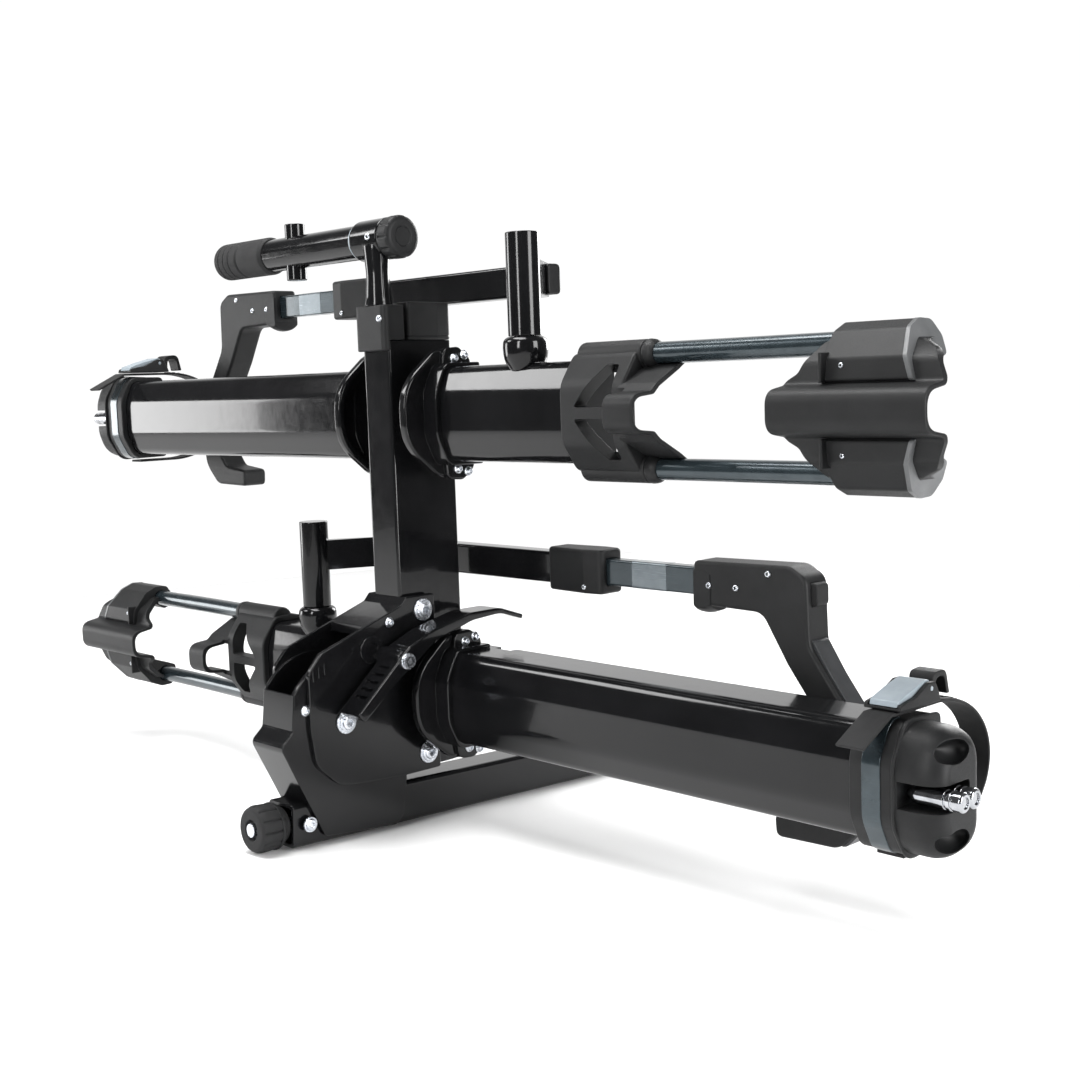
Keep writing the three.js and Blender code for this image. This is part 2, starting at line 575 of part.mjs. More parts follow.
function releaseButton() {
  const tip = HEAD_END + 8;
  const side = outline([[BUTTON_X, ARM_RISE - 15, 3], [tip, ARM_RISE - 15, 6], [tip, ARM_RISE + 9, 6],
    [BUTTON_X, ARM_RISE + 9, 3]]);
  const key = drawn(side, 0, 20, ACROSS, 2);
  return at(key, 0, ARM_Y + 10, 0);
}

// ---------- foot pedal and latch ----------
const PEDAL_Y = -38;
const PEDAL_Z = 210;
const PEDAL_R = 5;
const PEDAL_FROM = 47;
const PEDAL_TO = 84;

function footPedal() {
  const side = outline([[-112, 158, 4], [-102, 148, 4], [-52, 188, 16], [-24, 206, 16], [6, 227, 24],
    [66, 244, 50], [112, 247, 40], [148, 235, 2], [149, 241, 2], [112, 254, 50], [62, 254, 60], [0, 240, 40],
    [-34, 226, 12]]);
  return made(alongX(side, PEDAL_FROM, PEDAL_TO, 2), {
    adds: [at(rod(13, B_OUT + GAP, PEDAL_TO, X, 14), 0, PEDAL_Y, PEDAL_Z)],
    cuts: [at(rod(PEDAL_R + GAP, 0, 100, X, 12), 0, PEDAL_Y, PEDAL_Z)],
  });
}

function pedalBolt() {
  return at(turned([[B_IN - 5 - GAP, 9], [B_IN - GAP, 9], [B_IN - GAP, PEDAL_R], [PEDAL_TO + GAP, PEDAL_R],
    [PEDAL_TO + GAP, 9], [PEDAL_TO + 5, 9]], X, 12), 0, PEDAL_Y, PEDAL_Z);
}

function latchPlunger() {
  const seat = -B_OUT - GAP;
  const profile = [[-50, 7], [-44, 9], [seat, 9], [seat, LATCH_R], [-A_OUT - 1.4, LATCH_R],
    [-A_OUT - 0.5, 3.8]];
  return at(turned(profile, X, 12), 0, LATCH_Y, LATCH_Z);
}

// ---------- clamp on top, for holding one bicycle for repairs ----------
const STAND_Y = 20;
const STAND_Z = 708;
const HEAD_LEFT = -38;
const HEAD_RIGHT = 15;
const JAW_X = -187;

function standSocket() {
  const plan = outline([[-29, -8, 6], [29, -8, 6], [29, 28, 3], [-29, 28, 3]]);
  return made(alongZ(plan, 574, 628, 2), {
    cuts: [block(-60, 60, -GAP, 60, 500, SPINE_TOP + GAP), block(-60, 60, 22, 60, 500, 700),
      at(rod(9 + GAP, 596, 640, Z), 0, 8, 0)],
  });
}

function standNeck() {
  const neck = at(turned([[600, 9], [628 + GAP, 9], [628 + GAP, 17], [636, 15], [664, 13.5],
    [700, 15]], Z, 14), 0, 8, 0);
  const head = at(rod(25, HEAD_LEFT, HEAD_RIGHT, X), 0, STAND_Y, STAND_Z);
  return made(neck, {
    adds: [head],
    cuts: [at(rod(14 + GAP, HEAD_LEFT - 5, -6, X), 0, STAND_Y, STAND_Z),
      at(rod(6 + GAP, -20, HEAD_RIGHT + 5, X, 12), 0, STAND_Y, STAND_Z)],
  });
}

function standKnob() {
  return at(turned([[-4, 6], [HEAD_RIGHT + GAP, 6], [HEAD_RIGHT + GAP, 24], [HEAD_RIGHT + 6, 25.5],
    [HEAD_RIGHT + 20, 25], [HEAD_RIGHT + 23, 21]], X), 0, STAND_Y, STAND_Z);
}

function standTube() {
  const barrel = at(turned([[-236, 21], [HEAD_LEFT - GAP, 21], [HEAD_LEFT - GAP, 14], [-8, 14]], X),
    0, STAND_Y, STAND_Z);
  return made(barrel, { adds: [at(rod(13, -36, 36, Z, 12), JAW_X, STAND_Y, STAND_Z)] });
}

function standSleeve() {
  return at(turned([[-353, 20], [-348, 24], [-298, 24.5], [-295, 22.5], [-292, 24.5], [-242, 24.5],
    [-236 - GAP, 22]], X), 0, STAND_Y, STAND_Z);
}

// ---------- assembly ----------
const rack = new THREE.Group();

// The drawbar end, in the object's own frame.
piece(rack, 'drawbar_tube', drawbarTube(), paint);
piece(rack, 'cam_wedge', camWedge(), zinc);
piece(rack, 'cam_rod', camRod(), zinc);
piece(rack, 'cam_knob', camKnob(), rubber);

const bracketGroup = new THREE.Group();
bracketGroup.position.y = SPINE_FRONT;
piece(bracketGroup, 'hitch_bracket', hitchBracket(), paint);
piece(bracketGroup, 'bracket_bolt', bracketBolt(), zinc);
piece(bracketGroup, 'fold_pin', at(crossBolt(PIN_R, B_OUT + GAP, 12.5, 8), 0, FOLD_Y, FOLD_Z), zinc);
rack.add(bracketGroup);

// The mast leans back about the fold pin; its pieces are placed from the spine's front.
const leaning = new THREE.Group();
leaning.position.set(0, SPINE_FRONT + FOLD_Y, FOLD_Z);
leaning.rotation.x = LEAN;
const mast = new THREE.Group();
mast.position.set(0, -FOLD_Y, -FOLD_Z);
leaning.add(mast);
rack.add(leaning);

piece(mast, 'pivot_arm', pivotArm(), paint);
piece(mast, 'spine_tube', spineTube(), paint);
piece(mast, 'spine_cap', spineCap(), plastic);
SPINE_BOLTS.forEach(([y, z], i) => {
  piece(mast, `spine_bolt_${['upper', 'lower'][i]}`, at(crossBolt(6, B_OUT + GAP, 13, 4, 8), 0, y, z), zinc);
});
piece(mast, 'foot_pedal', footPedal(), paint);
piece(mast, 'pedal_bolt', pedalBolt(), zinc);
piece(mast, 'latch_plunger', latchPlunger(), zinc);
piece(mast, 'stand_socket', standSocket(), plastic);
piece(mast, 'stand_neck', standNeck(), paint);
piece(mast, 'stand_knob', standKnob(), plastic);
piece(mast, 'stand_tube', standTube(), paint);
piece(mast, 'stand_sleeve', standSleeve(), rubber);

// The lower tray carries its cradle on the -X side; the upper one is its mirror image.
const LEVELS = [['lower', TRAY_LOW, false], ['upper', TRAY_LOW + TRAY_STEP, true]];
LEVELS.forEach(([level, height, flip]) => {
  const tier = new THREE.Group();
  tier.position.z = height;
  mast.add(tier);
  const put = (name, geometry, look, mirror) => piece(
    tier, `${level}_${name}`, mirror ? mirroredX(geometry) : geometry, look);
  put('tray_cradle_side', trayHalf(TRAY_START, CRADLE_END), paint, !flip);
  put('tray_strap_side', trayHalf(TRAY_START, STRAP_END), paint, flip);
  put('collar_cradle_side', collar(), paint, !flip);
  put('collar_strap_side', collar(), paint, flip);
  put('cradle_hub', cradleHub(), plastic, !flip);
  put('cradle_rail_top', cradleRail(1), slate, !flip);
  put('cradle_rail_bottom', cradleRail(-1), slate, !flip);
  put('cradle_pad', cradlePad(), plastic, !flip);
  put('end_collar', endCollar(), plastic, flip);
  put('end_cap', endCap(), plastic, flip);
  put('lock_head', lockHead(), chrome, flip);
  put('strap', strap(), rubber, flip);
  put('buckle', buckle(), plastic, flip);
  put('buckle_lever', buckleLever(), pale, flip);
  put('arm_mount', armMount(), paint, flip);
  put('arm_base', armBase(), paint, flip);
  put('ratchet_housing', ratchetHousing(), plastic, flip);
  put('arm_slider', armSlider(), slate, flip);
  put('wheel_hook', wheelHook(), plastic, flip);
  put('release_button', releaseButton(), rubber, flip);
});

export default rack;
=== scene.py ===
"""Two-bicycle hitch rack, folded up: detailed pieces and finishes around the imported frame."""
import json
import math

import bmesh
import bpy
from mathutils import Matrix, Vector
from mathutils.geometry import tessellate_polygon

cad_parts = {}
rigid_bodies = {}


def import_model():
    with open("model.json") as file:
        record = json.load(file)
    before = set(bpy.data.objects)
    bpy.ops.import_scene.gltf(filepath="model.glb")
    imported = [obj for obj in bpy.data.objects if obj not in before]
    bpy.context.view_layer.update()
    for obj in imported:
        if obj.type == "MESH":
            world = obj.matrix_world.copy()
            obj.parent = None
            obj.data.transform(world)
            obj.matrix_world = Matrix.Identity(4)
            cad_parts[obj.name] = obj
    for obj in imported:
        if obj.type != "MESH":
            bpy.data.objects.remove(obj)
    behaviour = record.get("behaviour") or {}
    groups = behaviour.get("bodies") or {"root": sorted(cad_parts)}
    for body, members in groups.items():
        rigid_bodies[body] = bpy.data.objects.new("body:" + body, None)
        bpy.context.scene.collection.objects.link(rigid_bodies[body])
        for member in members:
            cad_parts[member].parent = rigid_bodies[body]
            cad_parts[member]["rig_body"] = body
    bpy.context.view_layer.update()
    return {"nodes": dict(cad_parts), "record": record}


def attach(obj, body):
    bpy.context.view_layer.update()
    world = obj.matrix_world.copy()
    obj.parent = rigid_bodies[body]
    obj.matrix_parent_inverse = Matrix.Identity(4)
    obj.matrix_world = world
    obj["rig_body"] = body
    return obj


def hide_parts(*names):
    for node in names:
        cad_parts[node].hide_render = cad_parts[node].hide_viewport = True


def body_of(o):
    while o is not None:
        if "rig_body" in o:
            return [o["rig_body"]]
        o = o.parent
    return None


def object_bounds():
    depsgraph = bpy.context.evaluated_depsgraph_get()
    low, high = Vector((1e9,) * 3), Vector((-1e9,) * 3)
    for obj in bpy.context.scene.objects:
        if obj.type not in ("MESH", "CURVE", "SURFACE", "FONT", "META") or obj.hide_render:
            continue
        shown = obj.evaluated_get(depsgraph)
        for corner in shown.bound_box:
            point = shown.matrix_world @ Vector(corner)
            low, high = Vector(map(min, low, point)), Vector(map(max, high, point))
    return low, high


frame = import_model()
scene = bpy.context.scene

# ---------------------------------------------------------------- camera
CAMERA_AT = (1.4408, -1.4784, 0.4956)
HEADING, PITCH, ROLL = math.radians(43.42), math.radians(4.733), math.radians(-0.5045)
FOCAL = 1.369556                # focal length over the picture's width
SENSOR = 36.0                   # mm


def add_camera():
    ahead = Vector((-math.cos(HEADING) * math.cos(PITCH), math.sin(HEADING) * math.cos(PITCH),
                    -math.sin(PITCH)))
    level = Vector((math.sin(HEADING), math.cos(HEADING), 0))
    above = level.cross(ahead)
    right = level * math.cos(ROLL) + above * math.sin(ROLL)
    up = above * math.cos(ROLL) - level * math.sin(ROLL)
    data = bpy.data.cameras.new("Camera")
    data.sensor_width = SENSOR
    data.lens = FOCAL * SENSOR
    data.clip_end = 100
    camera = bpy.data.objects.new("Camera", data)
    scene.collection.objects.link(camera)
    turn = Matrix((right, up, -ahead)).transposed().to_4x4()
    camera.matrix_world = Matrix.Translation(CAMERA_AT) @ turn
    scene.camera = camera


add_camera()

# ---------------------------------------------------------------- materials


class Finish:
    """A node material with a Principled shader and helpers for its inputs."""

    def __init__(self, name, **values):
        self.mat = bpy.data.materials.new(name)
        self.mat.use_nodes = True
        self.tree = self.mat.node_tree
        self.shader = self.tree.nodes["Principled BSDF"]
        for key, value in values.items():
            self.shader.inputs[key.replace("_", " ")].default_value = value
        coords = self.tree.nodes.new("ShaderNodeTexCoord")
        self.where = coords.outputs["Object"]

    def node(self, kind, inputs=None, **settings):
        made = self.tree.nodes.new("ShaderNode" + kind)
        for key, value in settings.items():
            setattr(made, key, value)
        for key, value in (inputs or {}).items():
            if isinstance(value, bpy.types.NodeSocket):
                self.tree.links.new(value, made.inputs[key])
            else:
                made.inputs[key].default_value = value
        return made

    def noise(self, scale, detail=3.0, rough=0.5, where=None):
        return self.node("TexNoise", {"Vector": where or self.where, "Scale": scale, "Detail": detail,
                                      "Roughness": rough}).outputs["Fac"]

    def spread(self, value, low, high, low_in=0.3, high_in=0.7):
        return self.node("MapRange", {"Value": value, "From Min": low_in, "From Max": high_in,
                                      "To Min": low, "To Max": high}).outputs["Result"]

    def tint(self, value, dark, light, low_in=0.3, high_in=0.7):
        ramp = self.node("ValToRGB", {"Fac": value})
        ramp.color_ramp.elements[0].position = low_in
        ramp.color_ramp.elements[0].color = (*dark, 1)
        ramp.color_ramp.elements[1].position = high_in
        ramp.color_ramp.elements[1].color = (*light, 1)
        return ramp.outputs["Color"]

    def feed(self, name, value):
        self.tree.links.new(value, self.shader.inputs[name])

    def relief(self, *layers, edge=0.0007):
        """Bump layers (height, strength, distance) over softly rounded edges."""
        normal = self.node("Bevel", {"Radius": edge}, samples=6).outputs["Normal"]
        for height, strength, distance in layers:
            normal = self.node("Bump", {"Height": height, "Strength": strength, "Distance": distance,
                                        "Normal": normal}).outputs["Normal"]
        self.feed("Normal", normal)


def black_paint():
    f = Finish("Gloss_black_paint", Coat_Weight=0.18, Coat_Roughness=0.03, Specular_IOR_Level=0.22)
    fine = f.noise(420, 2)
    broad = f.noise(14, 4, 0.6)
    f.feed("Base Color", f.tint(broad, (0.0035, 0.0036, 0.004), (0.0065, 0.0066, 0.0072)))
    f.feed("Roughness", f.spread(f.noise(55, 5, 0.7), 0.10, 0.17))
    f.relief((fine, 0.05, 0.0004), (f.noise(90, 1), 0.04, 0.001), edge=0.0009)
    return f.mat


def dark_plastic():
    f = Finish("Moulded_dark_plastic", Specular_IOR_Level=0.24)
    grain = f.noise(900, 3, 0.6)
    cloud = f.noise(25, 4, 0.6)
    f.feed("Base Color", f.tint(cloud, (0.0062, 0.0064, 0.0068), (0.0105, 0.0108, 0.0113)))
    f.feed("Roughness", f.spread(grain, 0.42, 0.58))
    f.relief((grain, 0.22, 0.0003), edge=0.0012)
    return f.mat


def rubber():
    f = Finish("Soft_rubber", Specular_IOR_Level=0.3)
    grain = f.noise(1300, 2, 0.7)
    cloud = f.noise(30, 4, 0.7)
    f.feed("Base Color", f.tint(cloud, (0.0075, 0.0075, 0.008), (0.013, 0.013, 0.0135)))
    f.feed("Roughness", f.spread(cloud, 0.6, 0.8))
    f.relief((grain, 0.25, 0.0002), edge=0.0008)
    return f.mat


def zinc():
    f = Finish("Bright_zinc", Metallic=1.0)
    cloud = f.noise(160, 4, 0.7)
    f.feed("Base Color", f.tint(cloud, (0.50, 0.53, 0.58), (0.80, 0.82, 0.86)))
    f.feed("Roughness", f.spread(f.noise(500, 3, 0.6), 0.2, 0.36))
    f.relief((cloud, 0.08, 0.0003), edge=0.0006)
    return f.mat


def chrome():
    f = Finish("Chrome", Metallic=1.0)
    cloud = f.noise(120, 3)
    f.feed("Base Color", f.tint(cloud, (0.34, 0.35, 0.37), (0.48, 0.49, 0.51)))
    f.feed("Roughness", f.spread(f.noise(700, 2), 0.10, 0.15))
    f.relief((cloud, 0.03, 0.0003), edge=0.0005)
    return f.mat


def slate_metal(name="Slate_blue_metal", dark=(0.020, 0.031, 0.037), light=(0.036, 0.050, 0.058)):
    f = Finish(name, Metallic=0.6, Coat_Weight=0.4, Coat_Roughness=0.08)
    cloud = f.noise(60, 4, 0.6)
    stretched = f.node("Mapping", {"Vector": f.where, "Scale": (4.0, 160.0, 160.0)}).outputs["Vector"]
    drawn = f.noise(8, 3, 0.6, stretched)
    f.feed("Base Color", f.tint(cloud, dark, light))
    f.feed("Roughness", f.spread(drawn, 0.23, 0.28))
    f.relief((f.noise(600, 2), 0.03, 0.0002), edge=0.0006)
    return f.mat


def pale_plastic(name="Pale_grey_plastic", dark=(0.21, 0.25, 0.28), light=(0.27, 0.31, 0.34)):
    f = Finish(name, Specular_IOR_Level=0.4)
    grain = f.noise(800, 2)
    cloud = f.noise(40, 3)
    f.feed("Base Color", f.tint(cloud, dark, light))
    f.feed("Roughness", f.spread(grain, 0.34, 0.46))
    f.relief((grain, 0.12, 0.0002), edge=0.0006)
    return f.mat


PAINT, PLASTIC, RUBBER, ZINC = black_paint(), dark_plastic(), rubber(), zinc()
CHROME, SLATE, PALE = chrome(), slate_metal(), pale_plastic()
LIGHT_SLATE = slate_metal("Light_slate_metal", (0.11, 0.135, 0.15), (0.16, 0.185, 0.20))
SOFT_GREY = pale_plastic("Soft_grey_pad", (0.022, 0.023, 0.025), (0.036, 0.037, 0.039))
# painted sheen: a mid grey for the slanted end faces of the pad walls, which are the same dark plastic
LIP_SHEEN_GREY = pale_plastic("Pad_lip_painted_sheen", (0.075, 0.078, 0.08), (0.11, 0.113, 0.116))
SLOT_LOOK = {"black_paint": PAINT, "dark_plastic": PLASTIC, "rubber": RUBBER, "zinc": ZINC,
             "chrome": CHROME, "slate_metal": SLATE, "grey_plastic": PALE}

# ---------------------------------------------------------------- shape helpers (millimetres)
X, Y, Z = Vector((1, 0, 0)), Vector((0, 1, 0)), Vector((0, 0, 1))
BASIS = {"X": (Y, Z, X), "Y": (Z, X, Y), "Z": (X, Y, Z), "A": (X, Z, -Y)}
ARC = 7
SHARP = math.radians(50)


def outline(corners, steps=ARC):
    """A closed loop from corners (a, b, radius); corners without a radius are sharp."""
    loop = []
    count = len(corners)
    for i, corner in enumerate(corners):
        here = Vector(corner[:2])
        r = corner[2] if len(corner) > 2 else 0
        if r <= 0:
            loop.append(here)
            continue
        back = Vector(corners[i - 1][:2]) - here
        ahead = Vector(corners[(i + 1) % count][:2]) - here
        half = math.acos(max(-1, min(1, back.normalized().dot(ahead.normalized())))) / 2
        reach = min(r / math.tan(half), back.length * 0.49, ahead.length * 0.49)
        start = here + back.normalized() * reach
        end = here + ahead.normalized() * reach
        for k in range(steps + 1):
            t = k / steps
            loop.append(start * (1 - t) ** 2 + here * (2 * t * (1 - t)) + end * t ** 2)
    return loop


def both(corners):
    """Corners for b > 0 followed by their mirror image."""
    return corners + [(a, -b, *r) for a, b, *r in reversed(corners)]


def arc(a, b, radius, start, end, steps=24, tall=None):
    """Points on an arc or ellipse about (a, b), in degrees."""
    tall = radius if tall is None else tall
    turn = [math.radians(start + (end - start) * k / steps) for k in range(steps + 1)]
    return [(a + radius * math.cos(t), b + tall * math.sin(t)) for t in turn]


def area(loop):
    return sum(loop[i - 1].x * p.y - p.x * loop[i - 1].y for i, p in enumerate(loop)) / 2


def inset(loop, distance):
    """The loop moved to its left by a distance, with mitred corners."""
    moved = []
    for i, here in enumerate(loop):
        u = (here - loop[i - 1]).normalized()
        v = (loop[(i + 1) % len(loop)] - here).normalized()
        left = Vector((-u.y - v.y, u.x + v.x))
        moved.append(here + left * (distance / max(1 + u.dot(v), 0.35)))
    return moved


def clean(loop):
    """The loop without repeated points."""
    return [p for i, p in enumerate(loop) if (p - loop[i - 1]).length > 0.02]


def bare_object(name, vertices, faces):
    mesh = bpy.data.meshes.new(name)
    mesh.from_pydata([tuple(v) for v in vertices], [], faces)
    work = bmesh.new()
    work.from_mesh(mesh)
    bmesh.ops.remove_doubles(work, verts=work.verts, dist=0.004)
    bmesh.ops.recalc_face_normals(work, faces=work.faces)
    work.to_mesh(mesh)
    work.free()
    made = bpy.data.objects.new(name, mesh)
    scene.collection.objects.link(made)
    return made


def prism(loops, low, high, axis="X", edge=0.8, steps=2):
    """An extrusion with rounded edges; the first loop is the outside and the rest are holes."""
    if not isinstance(loops[0], list):
        loops = [loops]
    rings = []
    for i, loop in enumerate(loops):
        loop = clean([Vector(p[:2]) for p in loop])
        if (area(loop) > 0) != (i == 0):
            loop.reverse()
        rings.append(loop)
    levels = []
    count = max(1, steps if edge > 0 else 1)
    for k in range(count + 1 if edge > 0 else 1):
        turn = math.pi / 2 * k / count
        levels.append((edge * (1 - math.sin(turn)), edge * (1 - math.cos(turn))))
    stack = [(d, low + h) for d, h in levels] + [(d, high - h) for d, h in reversed(levels)]
    u, v, w = BASIS[axis]
    vertices, faces, caps = [], [], ([], [])
    for loop in rings:
        n = len(loop)
        first = len(vertices)
        for d, h in stack:
            vertices += [u * p.x + v * p.y + w * h for p in (inset(loop, d) if d else loop)]
        for s in range(len(stack) - 1):
            a, b = first + s * n, first + (s + 1) * n
            faces += [(a + i, a + (i + 1) % n, b + (i + 1) % n, b + i) for i in range(n)]
        top = first + (len(stack) - 1) * n
        caps[0].extend(range(first, first + n))
        caps[1].extend(range(top, top + n))
    flat = [[Vector((p.x, p.y, 0)) for p in (inset(loop, stack[0][0]) if stack[0][0] else loop)]
            for loop in rings]
    for triangle in tessellate_polygon(flat):
        for cap in caps:
            faces.append(tuple(cap[i] for i in triangle))
    return bare_object("shape", vertices, faces)


def soften(profile, steps=3):
    """An open profile of (place, radius, rounding) as points, its corners rounded."""
    points = [Vector(profile[0][:2])]
    for i in range(1, len(profile) - 1):
        here = Vector(profile[i][:2])
        r = profile[i][2] if len(profile[i]) > 2 else 0
        back, ahead = Vector(profile[i - 1][:2]) - here, Vector(profile[i + 1][:2]) - here
        reach = min(r, back.length * 0.49, ahead.length * 0.49)
        if reach <= 0:
            points.append(here)
            continue
        start, end = here + back.normalized() * reach, here + ahead.normalized() * reach
        for k in range(steps + 1):
            t = k / steps
            points.append(start * (1 - t) ** 2 + here * (2 * t * (1 - t)) + end * t ** 2)
    points.append(Vector(profile[-1][:2]))
    return points


def lathe(profile, axis="X", at=(0, 0, 0), sides=48, flutes=None):
    """A turned solid from (place, radius, rounding) pairs; flutes is (count, depth, low, high)."""
    u, v, w = BASIS[axis]
    centre = Vector(at)
    points = soften(profile)
    points = [Vector((points[0].x, 0))] * (points[0].y > 0) + points
    points = points + [Vector((points[-1].x, 0))] * (points[-1].y > 0)
    vertices, faces = [], []
    for p in points:
        for k in range(sides):
            turn = 2 * math.pi * k / sides
            radius = p.y
            if flutes and flutes[2] <= p.x <= flutes[3]:
                radius -= flutes[1] * max(0.0, math.cos(turn * flutes[0])) ** 6
            vertices.append(centre + w * p.x + (u * math.cos(turn) + v * math.sin(turn)) * radius)
    for s in range(len(points) - 1):
        a, b = s * sides, (s + 1) * sides
        faces += [(a + i, a + (i + 1) % sides, b + (i + 1) % sides, b + i) for i in range(sides)]
    made = bare_object("shape", vertices, faces)
    work = bmesh.new()
    work.from_mesh(made.data)
    flat = [f for f in work.faces if f.calc_area() < 1e-7]
    bmesh.ops.delete(work, geom=flat, context="FACES")
    bmesh.ops.dissolve_degenerate(work, dist=1e-4, edges=work.edges)
    bmesh.ops.recalc_face_normals(work, faces=work.faces)
    work.to_mesh(made.data)
    work.free()
    return made


def sweep(path, section):
    """A section (list of (a, b)) carried along a path of points, without twist."""
    path = [Vector(p) for p in path]
    n = len(path)
    tangents = []
    for i in range(n):
        back = path[max(i - 1, 0)]
        ahead = path[min(i + 1, n - 1)]
        tangents.append((ahead - back).normalized())
    side = tangents[0].orthogonal().normalized()
    if abs(tangents[0].x) < 0.9:
        side = (X - tangents[0] * tangents[0].dot(X)).normalized()
    vertices, faces, m = [], [], len(section)
    for i in range(n):
        side = (side - tangents[i] * side.dot(tangents[i])).normalized()
        other = tangents[i].cross(side)
        vertices += [path[i] + side * a + other * b for a, b in section]
    for s in range(n - 1):
        a, b = s * m, (s + 1) * m
        faces += [(a + i, a + (i + 1) % m, b + (i + 1) % m, b + i) for i in range(m)]
    faces += [tuple(range(m)), tuple(range((n - 1) * m, n * m))]
    return bare_object("shape", vertices, faces)


def circle(radius, sides=16):
    return [(radius * math.cos(2 * math.pi * k / sides), radius * math.sin(2 * math.pi * k / sides))
            for k in range(sides)]


def slab(x0, x1, y0, y1, z0, z1, edge=0.0):
    return prism([(y0, z0), (y1, z0), (y1, z1), (y0, z1)], x0, x1, "X", edge)


def rod(radius, low, high, axis="X", at=(0, 0, 0), sides=32, edge=0.0):
    if edge > 0:
        return lathe([(low, 0), (low, radius, edge), (high, radius, edge), (high, 0)], axis, at, sides)
    return lathe([(low, radius), (high, radius)], axis, at, sides)


def combine(base, others, kind):
    """Boolean with each of the others in turn; the others are used up."""
    for other in others:
        step = base.modifiers.new("step", "BOOLEAN")
        step.operation = kind
        step.solver = "EXACT"
        step.object = other
        bpy.context.view_layer.update()
        result = bpy.data.meshes.new_from_object(base.evaluated_get(bpy.context.evaluated_depsgraph_get()))
        base.modifiers.clear()
        if not result.polygons:
            raise RuntimeError(f"nothing is left of {base.name} after {kind}")
        base.data = result
        bpy.data.objects.remove(other)
    return base


def cut(base, *others):
    return combine(base, others, "DIFFERENCE")


def add(base, *others):
    return combine(base, others, "UNION")


def both_keep(base, *others):
    return combine(base, others, "INTERSECT")


def join(*parts):
    """Several meshes as one, without a boolean, for parts that only touch."""
    work = bmesh.new()
    for part in parts:
        work.from_mesh(part.data)
        if part is not parts[0]:
            bpy.data.objects.remove(part)
    work.to_mesh(parts[0].data)
    work.free()
    return parts[0]


# ---------------------------------------------------------------- placing
LEAN = math.radians(2)                      # the mast's top leans away from the vehicle
SPINE_FRONT = -370                          # Y of the mast's front face
FOLD_Y, FOLD_Z = -97, 141                   # the fold pin, in the mast's own frame
METRES = Matrix.Scale(0.001, 4)             # the shapes are in millimetres, the frame in metres
MAST = (METRES @ Matrix.Translation((0, SPINE_FRONT + FOLD_Y, FOLD_Z)) @ Matrix.Rotation(LEAN, 4, "X")
        @ Matrix.Translation((0, -FOLD_Y, -FOLD_Z)))
FIXED = METRES @ Matrix.Translation((0, SPINE_FRONT, 0))
node_slot = {row["node"]: row["material_slot"] for row in frame["record"]["subparts"]}


def place(name, obj, matrix, look, body=None, nodes=()):
    """Names a piece, gives it its finish and its CAD body, and hides the nodes it stands for."""
    obj.name = name
    obj.data.name = name
    obj.data.transform(matrix)
    if matrix.determinant() < 0:
        obj.data.flip_normals()
    obj.data.materials.clear()
    obj.data.materials.append(look)
    obj.data.shade_smooth()
    obj.data.set_sharp_from_angle(angle=SHARP)
    weighted = obj.modifiers.new("Face_weights", "WEIGHTED_NORMAL")
    weighted.keep_sharp = True
    nodes = [nodes] if isinstance(nodes, str) else list(nodes)
    body = body or body_of(frame["nodes"][nodes[0]])[0]
    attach(obj, body)
    if nodes:
        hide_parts(*nodes)
    return obj


for node, obj in frame["nodes"].items():
    obj.data.materials.clear()
    obj.data.materials.append(SLOT_LOOK[node_slot[node]])

# ---------------------------------------------------------------- drawbar end
BAR, BAR_MID = 50.8, 25.4
BAR_REAR, BAR_FRONT = -535, 70
A_IN, A_OUT, B_IN, B_OUT = 25.8, 31.4, 31.8, 37.4
PIN_R, LATCH_R, BOLT_HEAD_R, GAP = 6, 5, 13.5, 0.4
BAR_WALL, HITCH_PIN_R = 5, 8.1
LATCH_Y, LATCH_Z = -62, 190
PEDAL_Y, PEDAL_Z, PEDAL_R = -38, 210, 5
PEDAL_FROM, PEDAL_TO, PEDAL_GROOVES, GROOVE_PITCH = 47, 84, 5, 11.2
SPINE_BOLTS = {"upper": (25, 259), "lower": (25, 81)}


def square(half, r, middle):
    return outline([(middle - half, -half, r), (middle + half, -half, r), (middle + half, half, r),
                    (middle - half, half, r)])


def screw(at, reach, r, washer=0.0, axis="X", name="", matrix=MAST, body="mast", height=4.0):
    """A button-head screw standing on a surface at `at`; reach is +1 or -1 along the axis."""
    profile = []
    rise = 0.0
    if washer:
        profile += [(-0.5, washer), (1.6, washer, 0.5), (1.6, r * 1.12)]
        rise = 1.6
    else:
        profile += [(-0.5, r)]
    profile += [(rise + 0.6, r), (rise + height, r * 0.74, 1.6), (rise + height, r * 0.46),
                (rise + height - 2.0, r * 0.40)]
    head = lathe([(p * reach, q, *c) for p, q, *c in profile], axis, at, 30)
    return place(name, head, matrix, ZINC, body)


